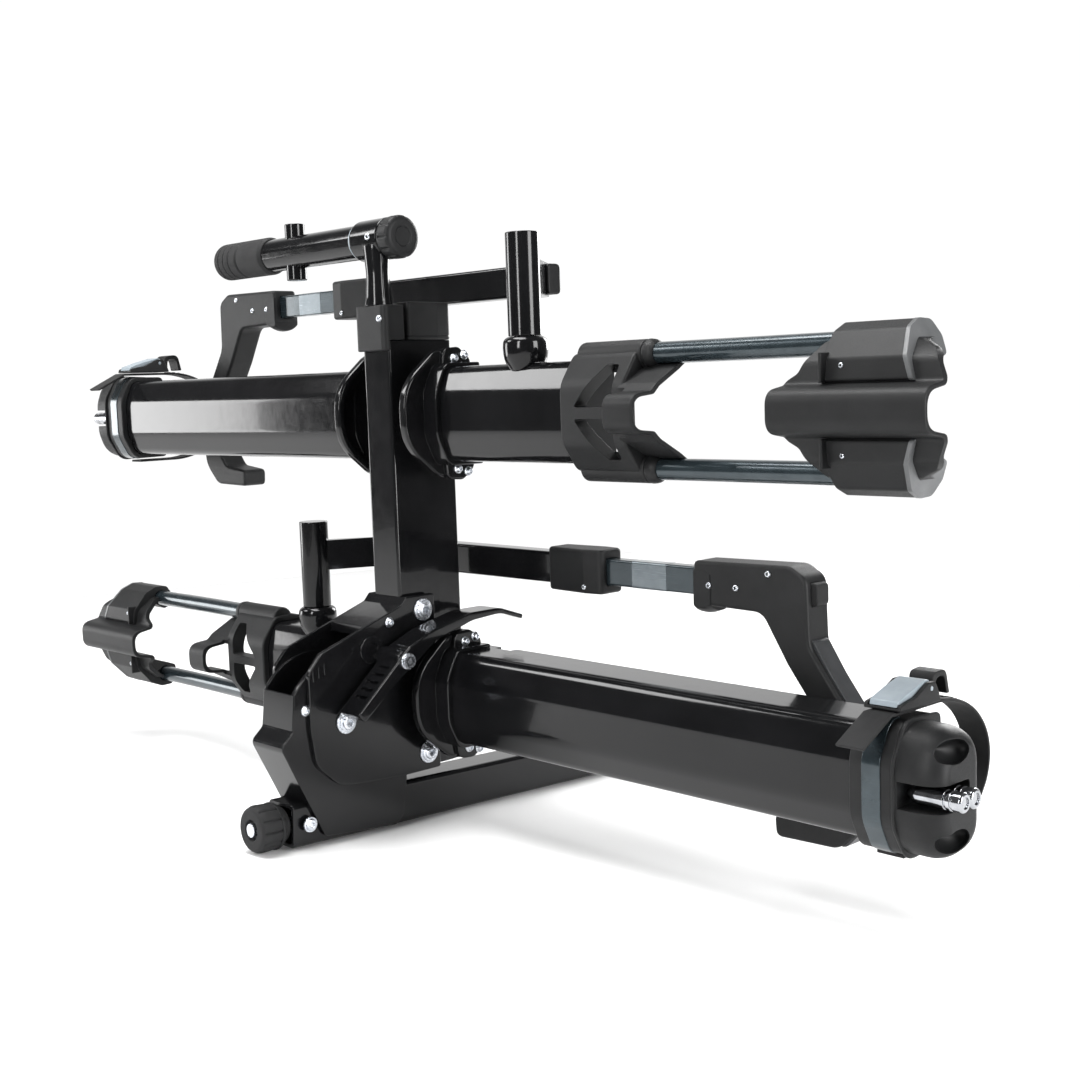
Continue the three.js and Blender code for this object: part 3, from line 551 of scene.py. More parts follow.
def drawbar():
    tube = prism([square(BAR_MID, 6, BAR_MID), square(BAR_MID - BAR_WALL, 3, BAR_MID)], BAR_REAR, BAR_FRONT,
                 "Y", 1.0)
    beyond = BAR_FRONT + 30
    slope = prism([(BAR_FRONT - 22, BAR + 1), (BAR_FRONT + 1, -1), (beyond, -1), (beyond, BAR + 1)],
                  -BAR, BAR, "X", 0)
    cut(tube, rod(HITCH_PIN_R, -BAR, BAR, "X", (0, 0, BAR_MID), 48), slope)
    place("Drawbar", tube, METRES, PAINT, nodes="drawbar_tube")
    low = BAR_REAR - 41
    knob = lathe([(-536, 5.6), (-536, 21, 1), (-541, 22, 1), (-544, 26.5, 2), (low + 6, 28, 4),
                  (low, 24.5, 3), (low, 12.5, 1), (low + 4, 11.5, 1), (low + 4, 5.6)], "Y",
                 (0, 0, BAR_MID), 96, (12, 2.2, low + 3, -543))
    place("Cam_knob_grip", knob, METRES, RUBBER, nodes="cam_knob")
    ring = lathe([(-547, 26.2), (-547, 27.8, 0.6), (-550, 27.8, 0.6), (-550, 26.2)], "Y", (0, 0, BAR_MID), 72)
    place("Cam_knob_ring", ring, METRES, PLASTIC, "cam")
    screw((0, low + 4, BAR_MID), -1, 7.2, axis="Y", name="Cam_knob_screw", matrix=METRES, body="cam",
          height=3.2)


def bracket_side():
    crown = arc(FOLD_Y, FOLD_Z, 78, 150, 62, 20)
    lower = [(-18, 150, 10), (-2, 62, 16), (-8, 12, 8), (-20, 2, 6), (-124, 8, 10), (-184, 122, 10)]
    return outline([(-168, 137, 8), *crown, *lower])


def hitch_bracket():
    body = prism(bracket_side(), -A_OUT, A_OUT, "X", 1.2)
    inner = prism(outline([(-164, 138), (-164, 240), (30, 240), (30, -10), (-119, -10), (-120, 9),
                           (-179, 122)]), -A_IN, A_IN, "X", 0)
    cut(body, inner, slab(-A_IN, A_IN, -300, 200, -20, BAR + GAP),
        rod(PIN_R + GAP, -50, 50, "X", (0, FOLD_Y, FOLD_Z)))
    place("Hitch_bracket_shell", body, FIXED, PAINT, nodes="hitch_bracket")
    bolt = lathe([(A_OUT - 1, 9.0), (A_OUT + 1.6, 9.0, 0.5), (A_OUT + 1.6, 7.2), (A_OUT + 4.4, 6.6, 1.4),
                  (A_OUT + 4.4, 3.4), (A_OUT + 2.4, 3)], "X", (0, -146, 27), 30)
    place("Bracket_bolt_head", bolt, FIXED, ZINC, nodes="bracket_bolt")
    screw((A_OUT, -149.5, 161), 1, 4.6, washer=6.0, name="Bracket_small_bolt", matrix=FIXED, body="drawbar",
          height=3)


def stepped_bolt(name, at, nodes, body, face, wide, top):
    """Both ends of a through bolt: washer, flange and socket head."""
    for sign, side in ((1, "right"), (-1, "left")):
        profile = [(face - 0.4, wide), (face + 2.2, wide, 0.8), (face + 2.2, wide * 0.82),
                   (face + 4.4, wide * 0.8, 0.8), (face + 4.4, wide * 0.62), (top, wide * 0.56, 1.6),
                   (top, wide * 0.30), (top - 3.4, wide * 0.28)]
        head = lathe([(p * sign, r, *c) for p, r, *c in profile], "X", at, 40)
        hexagon = lathe([((top - 4.6) * sign, wide * 0.34), ((top + 1) * sign, wide * 0.34)], "X", at, 6)
        cut(head, hexagon)
        place(f"{name}_{side}", head, FIXED if body == "drawbar" else MAST, ZINC, body,
              nodes if sign > 0 else ())


def pivot_arm():
    side = outline([(44, 277, 4), (0, 277, 3), (-8, 268, 6), (-128, 226, 10), (-146, 206, 14),
                    (-146, 140, 20), (-140, 96, 30), (-110, 68, 30), (-80, 63, 12), (-10, 59, 6),
                    (44, 59, 4)])
    body = prism(side, -B_OUT, B_OUT, "X", 1.3)
    web = 5
    below = outline([(-300, 0), (200, 0), (200, 265), (-2, 265), (-62, 243 - web), (-62, 300), (-300, 300)])
    cut(body, prism(below, -B_IN, B_IN, "X", 0), slab(-B_IN, B_IN, -GAP, 100, 0, 400),
        rod(PEDAL_R + GAP, 0, 60, "X", (0, PEDAL_Y, PEDAL_Z), 24),
        rod(LATCH_R + GAP, -60, 0, "X", (0, LATCH_Y, LATCH_Z), 24),
        *[rod(PIN_R + GAP, -60, 60, "X", (0, y, z), 24)
          for y, z in [*SPINE_BOLTS.values(), (FOLD_Y, FOLD_Z)]])
    place("Pivot_arm_shell", body, MAST, PAINT, nodes="pivot_arm")
    boss = lathe([(B_OUT - 0.5, 16.5), (B_OUT + 2.4, 16.5, 1), (B_OUT + 2.4, 9), (B_OUT - 0.5, 8.4)], "X",
                 (0, -56, 221), 48)
    for k in range(3):
        ridge = slab(B_OUT - 0.5, B_OUT + 1.4, -141 + 8 * k, -138 + 8 * k, 196 + 3 * k, 209 + 3 * k, 0.6)
        place(f"Pivot_arm_ridge_{k + 1}", ridge, MAST, PAINT, "mast")
    place("Pivot_arm_boss", boss, MAST, PAINT, "mast")
    screw((B_OUT, -27, 250), 1, 4.6, washer=6.2, name="Arm_small_bolt_1")
    for upper, (y, z) in SPINE_BOLTS.items():
        stepped_bolt(f"Spine_bolt_{upper}_head", (0, y, z), f"spine_bolt_{upper}", "mast", B_OUT,
                     BOLT_HEAD_R, B_OUT + 7.2)
    stepped_bolt("Fold_pin_head", (0, FOLD_Y, FOLD_Z), "fold_pin", "drawbar", B_OUT + GAP, BOLT_HEAD_R,
                 B_OUT + 8.6)


SPINE_FROM, SPINE_TOP, SPINE_DEPTH, SPINE_WALL = 60, 586, 100, 3
CAP_TOP = 632


def spine():
    half, back, crease = BAR_MID, BAR_MID - 3, 62
    w, deep = SPINE_WALL, SPINE_DEPTH
    shell = outline([(-half, 0, 4), (half, 0, 4), (half, crease, 12), (back, deep, 5), (-back, deep, 5),
                     (-half, crease, 12)])
    core = outline([(-half + w, w, 1), (half - w, w, 1), (half - w, crease, 10), (back - w, deep - w, 2),
                    (-back + w, deep - w, 2), (-half + w, crease, 10)])
    tube = prism([shell, core], SPINE_FROM, SPINE_TOP, "Z", 0.8)
    place("Spine", tube, MAST, PAINT, nodes="spine_tube")
    half = BAR_MID + 1.5
    lid = outline([(-half, 30, 5), (half, 30, 5), (half, 76, 8), (half - 4, deep, 7), (-half + 4, deep, 7),
                   (-half, 76, 8)])
    cap = prism(lid, SPINE_TOP + GAP, CAP_TOP, "Z", 2.2, 3)
    groove = prism([outline([(-40, 20), (40, 20), (40, 110), (-40, 110)]), inset(lid, 1.0)],
                   SPINE_TOP + 4, SPINE_TOP + 6.2, "Z", 0)
    place("Spine_lid", cut(cap, groove), MAST, PLASTIC, nodes="spine_cap")


def pedal():
    side = outline([(-112, 158, 4), (-102, 148, 4), (-52, 188, 16), (-24, 206, 16), (6, 227, 24),
                    (66, 244, 50), (112, 247, 40), (148, 235, 2), (149, 241, 2), (112, 254, 50),
                    (62, 254, 60), (0, 240, 40), (-34, 226, 12)])
    body = prism(side, PEDAL_FROM, PEDAL_TO, "X", 2.0, 3)
    add(body, rod(13, B_OUT + GAP, PEDAL_TO - 2, "X", (0, PEDAL_Y, PEDAL_Z), 40, 0.8))
    along = Vector((0, 58, 56)).normalized()
    pads = []
    for k in range(PEDAL_GROOVES):
        middle = Vector((0, -96, 176.5)) + along * (GROOVE_PITCH * k)
        groove = slab(PEDAL_FROM + 7, PEDAL_TO - 7, -2.2, 2.2, -8, 8, 1.2)
        groove.data.transform(Matrix.Translation(middle) @ Matrix.Rotation(math.radians(44), 4, "X"))
        pads.append(groove)
    cut(body, *pads, rod(PEDAL_R + GAP, 0, 100, "X", (0, PEDAL_Y, PEDAL_Z), 24))
    place("Foot_pedal_lever", body, MAST, PAINT, nodes="foot_pedal")
    profile = [(PEDAL_TO + GAP - 0.2, 9.6), (PEDAL_TO + 2, 9.6, 0.6), (PEDAL_TO + 2, 7.4),
               (PEDAL_TO + 5, 6.6, 1.2), (PEDAL_TO + 5, 3.6), (PEDAL_TO + 3, 3.4)]
    place("Pedal_bolt_head", lathe(profile, "X", (0, PEDAL_Y, PEDAL_Z), 36), MAST, ZINC, "mast")


TUBE_Y, TUBE_Z, NECK_Y = 20, 708, 8


def stand():
    y, z, neck_at = TUBE_Y, TUBE_Z, (0, NECK_Y, 0)
    plan = outline([(-29, -8, 8), (29, -8, 8), (29, 28, 3), (-29, 28, 3)])
    socket = prism(plan, 574, 628, "Z", 1.6, 3)
    cut(socket, slab(-60, 60, -GAP, 60, 500, SPINE_TOP + GAP), slab(-60, 60, 22, 60, 500, 700),
        rod(9.4, 596, 640, "Z", neck_at, 32))
    place("Stand_socket_block", socket, MAST, PLASTIC, nodes="stand_socket")
    screw((20, -8, 612), -1, 4.2, axis="Y", name="Stand_socket_screw", height=2.4)
    neck = lathe([(600, 9), (628.4, 9), (628.4, 17, 0.8), (636, 15.4, 3), (664, 13.5, 8), (696, 16, 3),
                  (700, 16)], "Z", neck_at, 40)
    head = rod(25, -38, 15, "X", (0, y, z), 64, 2.2)
    add(neck, head)
    cut(neck, rod(14.4, -43, -6, "X", (0, y, z), 40), rod(6.4, -20, 20, "X", (0, y, z), 24))
    place("Stand_neck_tee", neck, MAST, PAINT, nodes="stand_neck")
    screw((0, y - 24.4, z + 2), -1, 4.4, axis="Y", name="Stand_neck_screw", body="stand_neck", height=2.2)
    knob = lathe([(-4, 6), (15.4, 6), (15.4, 24, 1), (20, 25.5, 1.5), (35, 25.5, 4), (38, 20, 2), (38, 12, 1),
                  (36, 11), (36, 0)], "X", (0, y, z), 96, (10, 2.4, 19, 34))
    place("Stand_knob_grip", knob, MAST, PLASTIC, nodes="stand_knob")
    tube = lathe([(-236, 21, 0.8), (-38.4, 21, 0.8), (-38.4, 14), (-8, 14)], "X", (0, y, z), 64)
    place("Stand_clamp_tube", tube, MAST, PAINT, nodes="stand_tube")
    bore = rod(13, -36, 36, "Z", (-187, y, z), 40, 1.4)
    place("Stand_jaw_pin", bore, MAST, PAINT, "stand_tube")
    ring = lathe([(-39.5, 21.2), (-39.5, 22.4, 0.4), (-42.5, 22.4, 0.4), (-42.5, 21.2)], "X", (0, y, z), 64)
    place("Stand_joint_ring", ring, MAST, PALE, "stand_tube")
    profile = [(-353, 19, 2), (-350, 23, 2), (-346, 24.4, 1)]
    for k in range(3):
        x = -338 + 12 * k
        profile += [(x - 1.5, 24.5, 0.5), (x, 23.2, 0.5), (x + 1.5, 24.5, 0.5)]
    profile += [(-298, 24.5, 0.8), (-295, 22.6, 0.8), (-292, 24.5, 0.8), (-242, 24.5, 1.5), (-236.5, 22, 1)]
    place("Stand_grip_sleeve", lathe([(profile[0][0], 0), *profile, (-236.5, 0)], "X", (0, y, z), 64), MAST,
          RUBBER, nodes="stand_sleeve")


# ---------------------------------------------------------------- one tier
TRAY_START, STRAP_END, CRADLE_END, TRAY_WALL = 68, 688, 312, 3
TRAY_RIM, PAST_RIM = 94, 120                # a cutter up to PAST_RIM leaves the tray's mouth open


def tray_outline(grow, rim=TRAY_RIM):
    half, belly = 56 - grow, 20 + grow
    return [(rim, half), (belly + 13, half, 16), (belly, half * 0.42, 40)]


def tray_section(grow, rim=TRAY_RIM):
    return outline(both(tray_outline(grow, rim)), 10)


def tray(end, name, node, matrix):
    outer, inner = both(tray_outline(0)), both(tray_outline(TRAY_WALL))
    skin = prism(outline(outer, 12) + outline(inner, 12)[::-1], TRAY_START, end, "X", 0.7)
    notches = [slab(TRAY_START + 34, TRAY_START + 62, 84, 100, side * 55 - 6, side * 55 + 6)
               for side in (1, -1)]
    cut(skin, *notches)
    place(name, skin, matrix, PAINT, nodes=node)


def collar(name, node, matrix):
    lip = outline(both([(84, 74, 8), (34, 76, 26), (-16, 34, 60)]), 12)
    mouth = outline(both([(100, 62), (36, 68, 24), (-9, 30, 55)]), 12)
    sleeve = outline(both([(84, 61, 3), (30, 61, 18), (13, 26, 40)]), 12)
    ear = outline([(38, 50), (84, 50, 4), (84, 66, 12), (66, 80, 12), (42, 78, 12)])
    low_ear = [Vector((p.x, -p.y)) for p in ear]
    bell = cut(prism(lip, 59, 71, "X", 3.2, 4), prism(mouth, 0, 67, "X", 0))
    add(bell, prism(sleeve, 66, 94, "X", 1.6, 3), prism(ear, 63, 77, "X", 1.6),
        prism(low_ear, 63, 77, "X", 1.6),
        prism(outline([(46, 44, 8), (86, 44, 8), (86, -44, 8), (46, -44, 8)]), 25.8, 70, "X", 1))
    cut(bell, prism(tray_section(-GAP, PAST_RIM), TRAY_START - GAP, 200, "X", 0))
    place(name, bell, matrix, PAINT, nodes=node)
    for k, (y, z) in enumerate([(73, 70), (57, 66), (73, -70), (57, -66)]):
        screw((77, y, z), 1, 4.4, washer=5.8, name=f"{name}_screw_{k + 1}", matrix=matrix)


HUB_START, HUB_END, LIP_END = 303, 396, 441
PAD_START, PAD_END, RAIL_END, RAIL_R = 606, 772, 676, 11.5
RAIL_Y, RAIL_Z = 50, 60
CHEEK_START, CHEEK_END = PAD_START + 42, PAD_START + 110
HUB_TROUGH = [(58, 55), (44, 46, 14), (14, 30, 8), (5, 22, 6), (-26, 19, 16)]
PAD_TROUGH = [(52, 66), (30, 62, 16), (9, 44, 14), (4, 24, 6), (-26, 19, 16)]


def trough(half, low, high):
    over = [(y + 5, z - 3.5, *r) for y, z, *r in half]
    section = outline(both(half), 10) + outline(both(over), 10)[::-1]
    return prism(section, low, high, "X", 1.4, 3)


def rails(radius, low, high, edge=0.0, sides=40):
    return [rod(radius, low, high, "X", (0, RAIL_Y, side * RAIL_Z), sides, edge) for side in (1, -1)]


def cheek(side, plan, grow=0.0):
    """A thick wall round one rail, cut to a plan in (x, z)."""
    section = [(0, 25, 3), (3, 46, 8), (24, 71, 14), (42, 79, 10), (60, 78, 8), (69, 64, 8), (67, 48, 6),
               (54, 43, 4), (33, 56, 4), (13, 42, 6), (8, 26, 3)]
    loop = outline([(y, side * z, r) for y, z, r in section])
    if area(loop) < 0:
        loop.reverse()
    wall = prism(inset(clean(loop), -grow), PAD_START + 1, PAD_END + 20, "X", 0)
    return both_keep(wall, prism([(x, side * z) for x, z in plan], -120, 120, "A", 0))


def cradle(level, matrix):
    shell = prism(outline(both([(84, 60, 8), (62, 65, 10), (34, 63, 16), (11, 30, 34)]), 10), HUB_START,
                  HUB_END, "X", 3.0, 4)
    add(shell, *rails(15, HUB_START + 4, HUB_END + 4, 3.0), trough(HUB_TROUGH, HUB_END - 6, LIP_END))
    tools = [prism(tray_section(-GAP, PAST_RIM), HUB_START - 5, CRADLE_END + GAP, "X", 0),
             slab(HUB_START - 5, HUB_END + 6, -60, 10.8, -25, 25),
             prism(tray_section(9, PAST_RIM), CRADLE_END + 4, HUB_END + 1, "X", 0),
             *rails(RAIL_R + GAP, HUB_END - 26, HUB_END + 80)]
    for side in (1, -1):
        tools.append(prism(outline([(HUB_START + 20, side * 6, 3), (HUB_END - 15, side * 6, 3),
                                    (HUB_END - 15, side * 50, 5), (HUB_START + 60, side * 50, 5)]),
                           -40, 10, "A", 0))
    cut(shell, *tools)
    place(f"{level}_hub", shell, matrix, PLASTIC, nodes=f"{level.lower()}_cradle_hub")
    for side, upper in ((1, "top"), (-1, "bottom")):
        path = [(HUB_END - 24 + (RAIL_END - HUB_END + 24) * k / 24,
                 RAIL_Y + 3.0 * math.sin(math.pi * k / 24), side * RAIL_Z) for k in range(25)]
        bar = sweep(path, circle(RAIL_R - 0.1, 32))
        place(f"{level}_rail_{upper}", bar, matrix, SLATE, nodes=f"{level.lower()}_cradle_rail_{upper}")
        ball = lathe([(HUB_END + 2, 12), (HUB_END + 5, 15.5, 2), (HUB_END + 13, 14.5, 4),
                      (HUB_END + 17, 11.6)], "X", (0, RAIL_Y + 0.3, side * RAIL_Z), 40)
        place(f"{level}_rail_boot_{upper}", ball, matrix, PLASTIC, "mast")
    plan = outline(both([(PAD_END, 26, 20), (PAD_END - 12, 50, 24), (PAD_END - 44, 63.5, 24),
                         (PAD_START + 34, 72, 6), (PAD_START + 22, 50, 10), (PAD_START + 14, 34, 10),
                         (PAD_START, 26, 10)]), 8)
    pad = both_keep(trough(PAD_TROUGH, PAD_START, PAD_END), prism(plan, -70, 100, "A", 0))
    lips = []
    for side in (1, -1):
        add(pad, cheek(side, [(CHEEK_START, 10), (CHEEK_START, 90), (CHEEK_END, 90), (CHEEK_END + 30, 10)]))
        lips.append(cheek(side, [(CHEEK_END + 0.2, 90), (CHEEK_END + 4.5, 90), (CHEEK_END + 34.5, 10),
                                 (CHEEK_END + 30.2, 10)], 0.4))
        web = sorted((side * 25, side * 52))
        add(pad, slab(CHEEK_START + 3, CHEEK_START + 6.4, -6, 10, *web, 0.8))
    cut(pad, *rails(RAIL_R + GAP, PAD_START, RAIL_END + 1))
    place(f"{level}_pad", pad, matrix, PLASTIC, nodes=f"{level.lower()}_cradle_pad")
    # the lip bands get the mid grey that paints the sheen on the pad walls' slanted end faces
    for lip, upper in zip(lips, ("top", "bottom")):
        place(f"{level}_pad_lip_{upper}", lip, matrix, LIP_SHEEN_GREY, "mast")
        side = 1 if upper == "top" else -1
        screw((CHEEK_START + 22, 2.6, side * 40), -1, 2.6, axis="Y", matrix=matrix, height=1.4,
              name=f"{level}_pad_screw_{upper}")


STRAP_START, CAP_START, CAP_DEPTH = 666, 712, 48
BARREL_START, BARREL_END, STEM_Y = CAP_START + 6, CAP_START + 64, 38


def swelled(face, levels):
    """A solid whose section grows or shrinks along X: levels is [(x, growth), ...]."""
    loop = clean(face)
    if area(loop) < 0:
        loop.reverse()
    u, v, w = BASIS["X"]
    vertices, faces, n = [], [], len(loop)
    for x, grow in levels:
        vertices += [u * p.x + v * p.y + w * x for p in inset(loop, -grow)]
    for s in range(len(levels) - 1):
        a, b = s * n, (s + 1) * n
        faces += [(a + i, a + (i + 1) % n, b + (i + 1) % n, b + i) for i in range(n)]
    faces += [tuple(range(n)), tuple(range((len(levels) - 1) * n, len(levels) * n))]
    return bare_object("shape", vertices, faces)


def strap_end(level, matrix):
    key = level.lower()
    ring = both([(86, 62, 8), (30, 63, 22), (12, 28, 36)])
    body = prism(outline(ring, 12), STRAP_START, CAP_START, "X", 1.6, 3)
    hollow = prism(tray_section(-GAP, PAST_RIM), STRAP_START - 5, STRAP_END + GAP, "X", 0)
    cut(body, hollow, rod(4.4, CAP_START - 22, CAP_START + 60, "X", (0, STEM_Y, 0), 24))
    place(f"{level}_end_ring", body, matrix, PLASTIC, nodes=f"{key}_end_collar")
    loop = outline(ring, 12)
    if area(loop) < 0:
        loop.reverse()
    band = prism(inset(clean(loop), -0.9), STRAP_START + 14, CAP_START - 12, "X", 0.8)
    cut(band, prism(inset(clean(loop), 1.5), STRAP_START, CAP_START, "X", 0),
        slab(STRAP_START, CAP_START, 46, 120, -100, 100))
    place(f"{level}_end_inlay", band, matrix, SLATE, "mast")
    rings = [(CAP_START + GAP, 19)]
    for k in range(13):
        t = k / 12 * math.pi / 2
        rings.append((CAP_START + GAP + CAP_DEPTH - 26 + 26 * math.sin(t), 19 * math.cos(t)))
    dome = swelled(outline(both([(70, 40, 16), (38, 43, 18), (30, 20, 26)]), 10), rings)
    add(dome, prism(outline(both([(88, 63, 8), (31, 66, 22), (9, 30, 36)]), 12), CAP_START + GAP,
                    CAP_START + 4, "X", 1.2))
    tools = []
    for side in (1, -1):
        scoop = lathe([(-1 + 2 * k / 16, math.sin(math.pi * k / 16) if 0 < k < 16 else 0) for k in range(17)],
                      "X", sides=40)
        scoop.data.transform(Matrix.Translation((CAP_START + CAP_DEPTH - 6, 42, side * 40))
                             @ Matrix.Diagonal((17, 23, 12, 1)))
        tools.append(scoop)
    tools += [prism(outline([(-20, -12), (-20, 13), (62, 13, 5), (62, -12, 5)]), BARREL_START - GAP,
                    CAP_START + 90, "X", 0),
              rod(4.4, CAP_START - 22, CAP_START + 60, "X", (0, STEM_Y, 0), 24)]
    cut(dome, *tools)
    place(f"{level}_end_dome", dome, matrix, PLASTIC, nodes=f"{key}_end_cap")
    for k, y in enumerate((STEM_Y - 9, STEM_Y + 9)):
        tail = BARREL_END
        profile = [(BARREL_START, 0), (BARREL_START + 0.2, 3, 0.5), (BARREL_START + 4, 6.6, 3),
                   (BARREL_START + 11, 9.4, 4), (tail - 18, 9.4), (tail - 17.4, 8.3), (tail - 16, 8.3),
                   (tail - 15.4, 9.4), (tail - 12, 9.4), (tail - 11.4, 8.3), (tail - 10, 8.3),
                   (tail - 9.4, 9.4), (tail - 1.6, 9.4, 1), (tail, 7.8, 0.6), (tail, 5.4), (tail - 1.4, 5.1),
                   (tail - 1.4, 0)]
        barrel = lathe(profile, "X", (0, y, 0), 48)
        place(f"{level}_lock_barrel_{k + 1}", barrel, matrix, CHROME, f"{key}_lock",
              f"{key}_lock_head" if k == 0 else ())


BUCKLE_PIN = (0, 84, 84)
STRAP_FROM, STRAP_TO, TEETH, TOOTH_STEP = 674, 704, 16, 5.2


def strap(level, matrix):
    """The strap's loop is half an ellipse about (centre, 0), as wide as bulge and as high as rise."""
    key = level.lower()
    low, high = STRAP_FROM, STRAP_TO
    rise, thick, centre, bulge = 66, 3, 104, 90
    inner = [(44, -rise), *arc(centre, 0, bulge, -90, 90, 40, rise), (26, rise), (-18, 44)]
    outer = [(-20, 46.5), (25, rise + thick), *arc(centre, 0, bulge + thick, 90, -90, 40, rise + thick),
             (44, -rise - thick)]
    band = prism([Vector(p) for p in inner + outer], low, high, "X", 0.9)
    teeth = []
    for k in range(TEETH):
        turn = math.radians(88 - TOOTH_STEP * k)
        at = Vector((0, centre + (bulge + thick) * math.cos(turn), (rise + thick) * math.sin(turn)))
        tooth = slab(low + 7, high - 7, -1.3, 1.3, -1.6, 1.0, 0.5)
        tooth.data.transform(Matrix.Translation(at) @ Matrix.Rotation(turn - math.pi / 2, 4, "X"))
        teeth.append(tooth)
    place(f"{level}_strap_band", band, matrix, RUBBER, nodes=f"{key}_strap")
    place(f"{level}_strap_teeth", join(*teeth), matrix, RUBBER, "mast")
    side = outline([(32, 70, 2), (100, 70, 2), (96, 80, 4), (90, 90, 4), (80, 90, 4), (58, 80, 8),
                    (34, 76, 3)])
    grip = outline([(96, 72), (97, 95, 8), (120, 97, 10), (126, 72, 2), (121, 72, 2), (117, 91, 8),
                    (102, 90, 8), (101, 72)])
    frame_part = prism(side, low - 5, high + 5, "X", 0.9)
    cut(frame_part, slab(low - 1, high + 1, 30, 96, 73, 100))
    add(frame_part, prism(grip, low + 2, high - 2, "X", 0.9))
    cut(frame_part, rod(2.6, low - 20, high + 20, "X", BUCKLE_PIN, 20))
    place(f"{level}_buckle_frame", frame_part, matrix, PLASTIC, nodes=f"{key}_buckle")
    side = outline([(34, 73.8), (42, 73.8), (84, 80.2), (88, 84), (88, 91, 3), (82, 92, 3), (58, 86, 10),
                    (36, 79, 3)])
    lever = prism(side, low, high, "X", 1.0)
    add(lever, rod(2.2, low - 5, high + 5, "X", BUCKLE_PIN, 20))
    place(f"{level}_buckle_arm", lever, matrix, PALE, nodes=f"{key}_buckle_lever")


ARM_Y, ARM_RISE, OUTER_END, POST_X, POST_Y = 138, 155, 200, 216, 46
POST_FOOT, POST_TOP, ELBOW_X = 86, 201, -150
HOOK_WIDTH, SLIDER_END, BUTTON_X, HEAD_END = 38, 436, 526, 542
BAND_FROM, BAND_TO = 292, 344


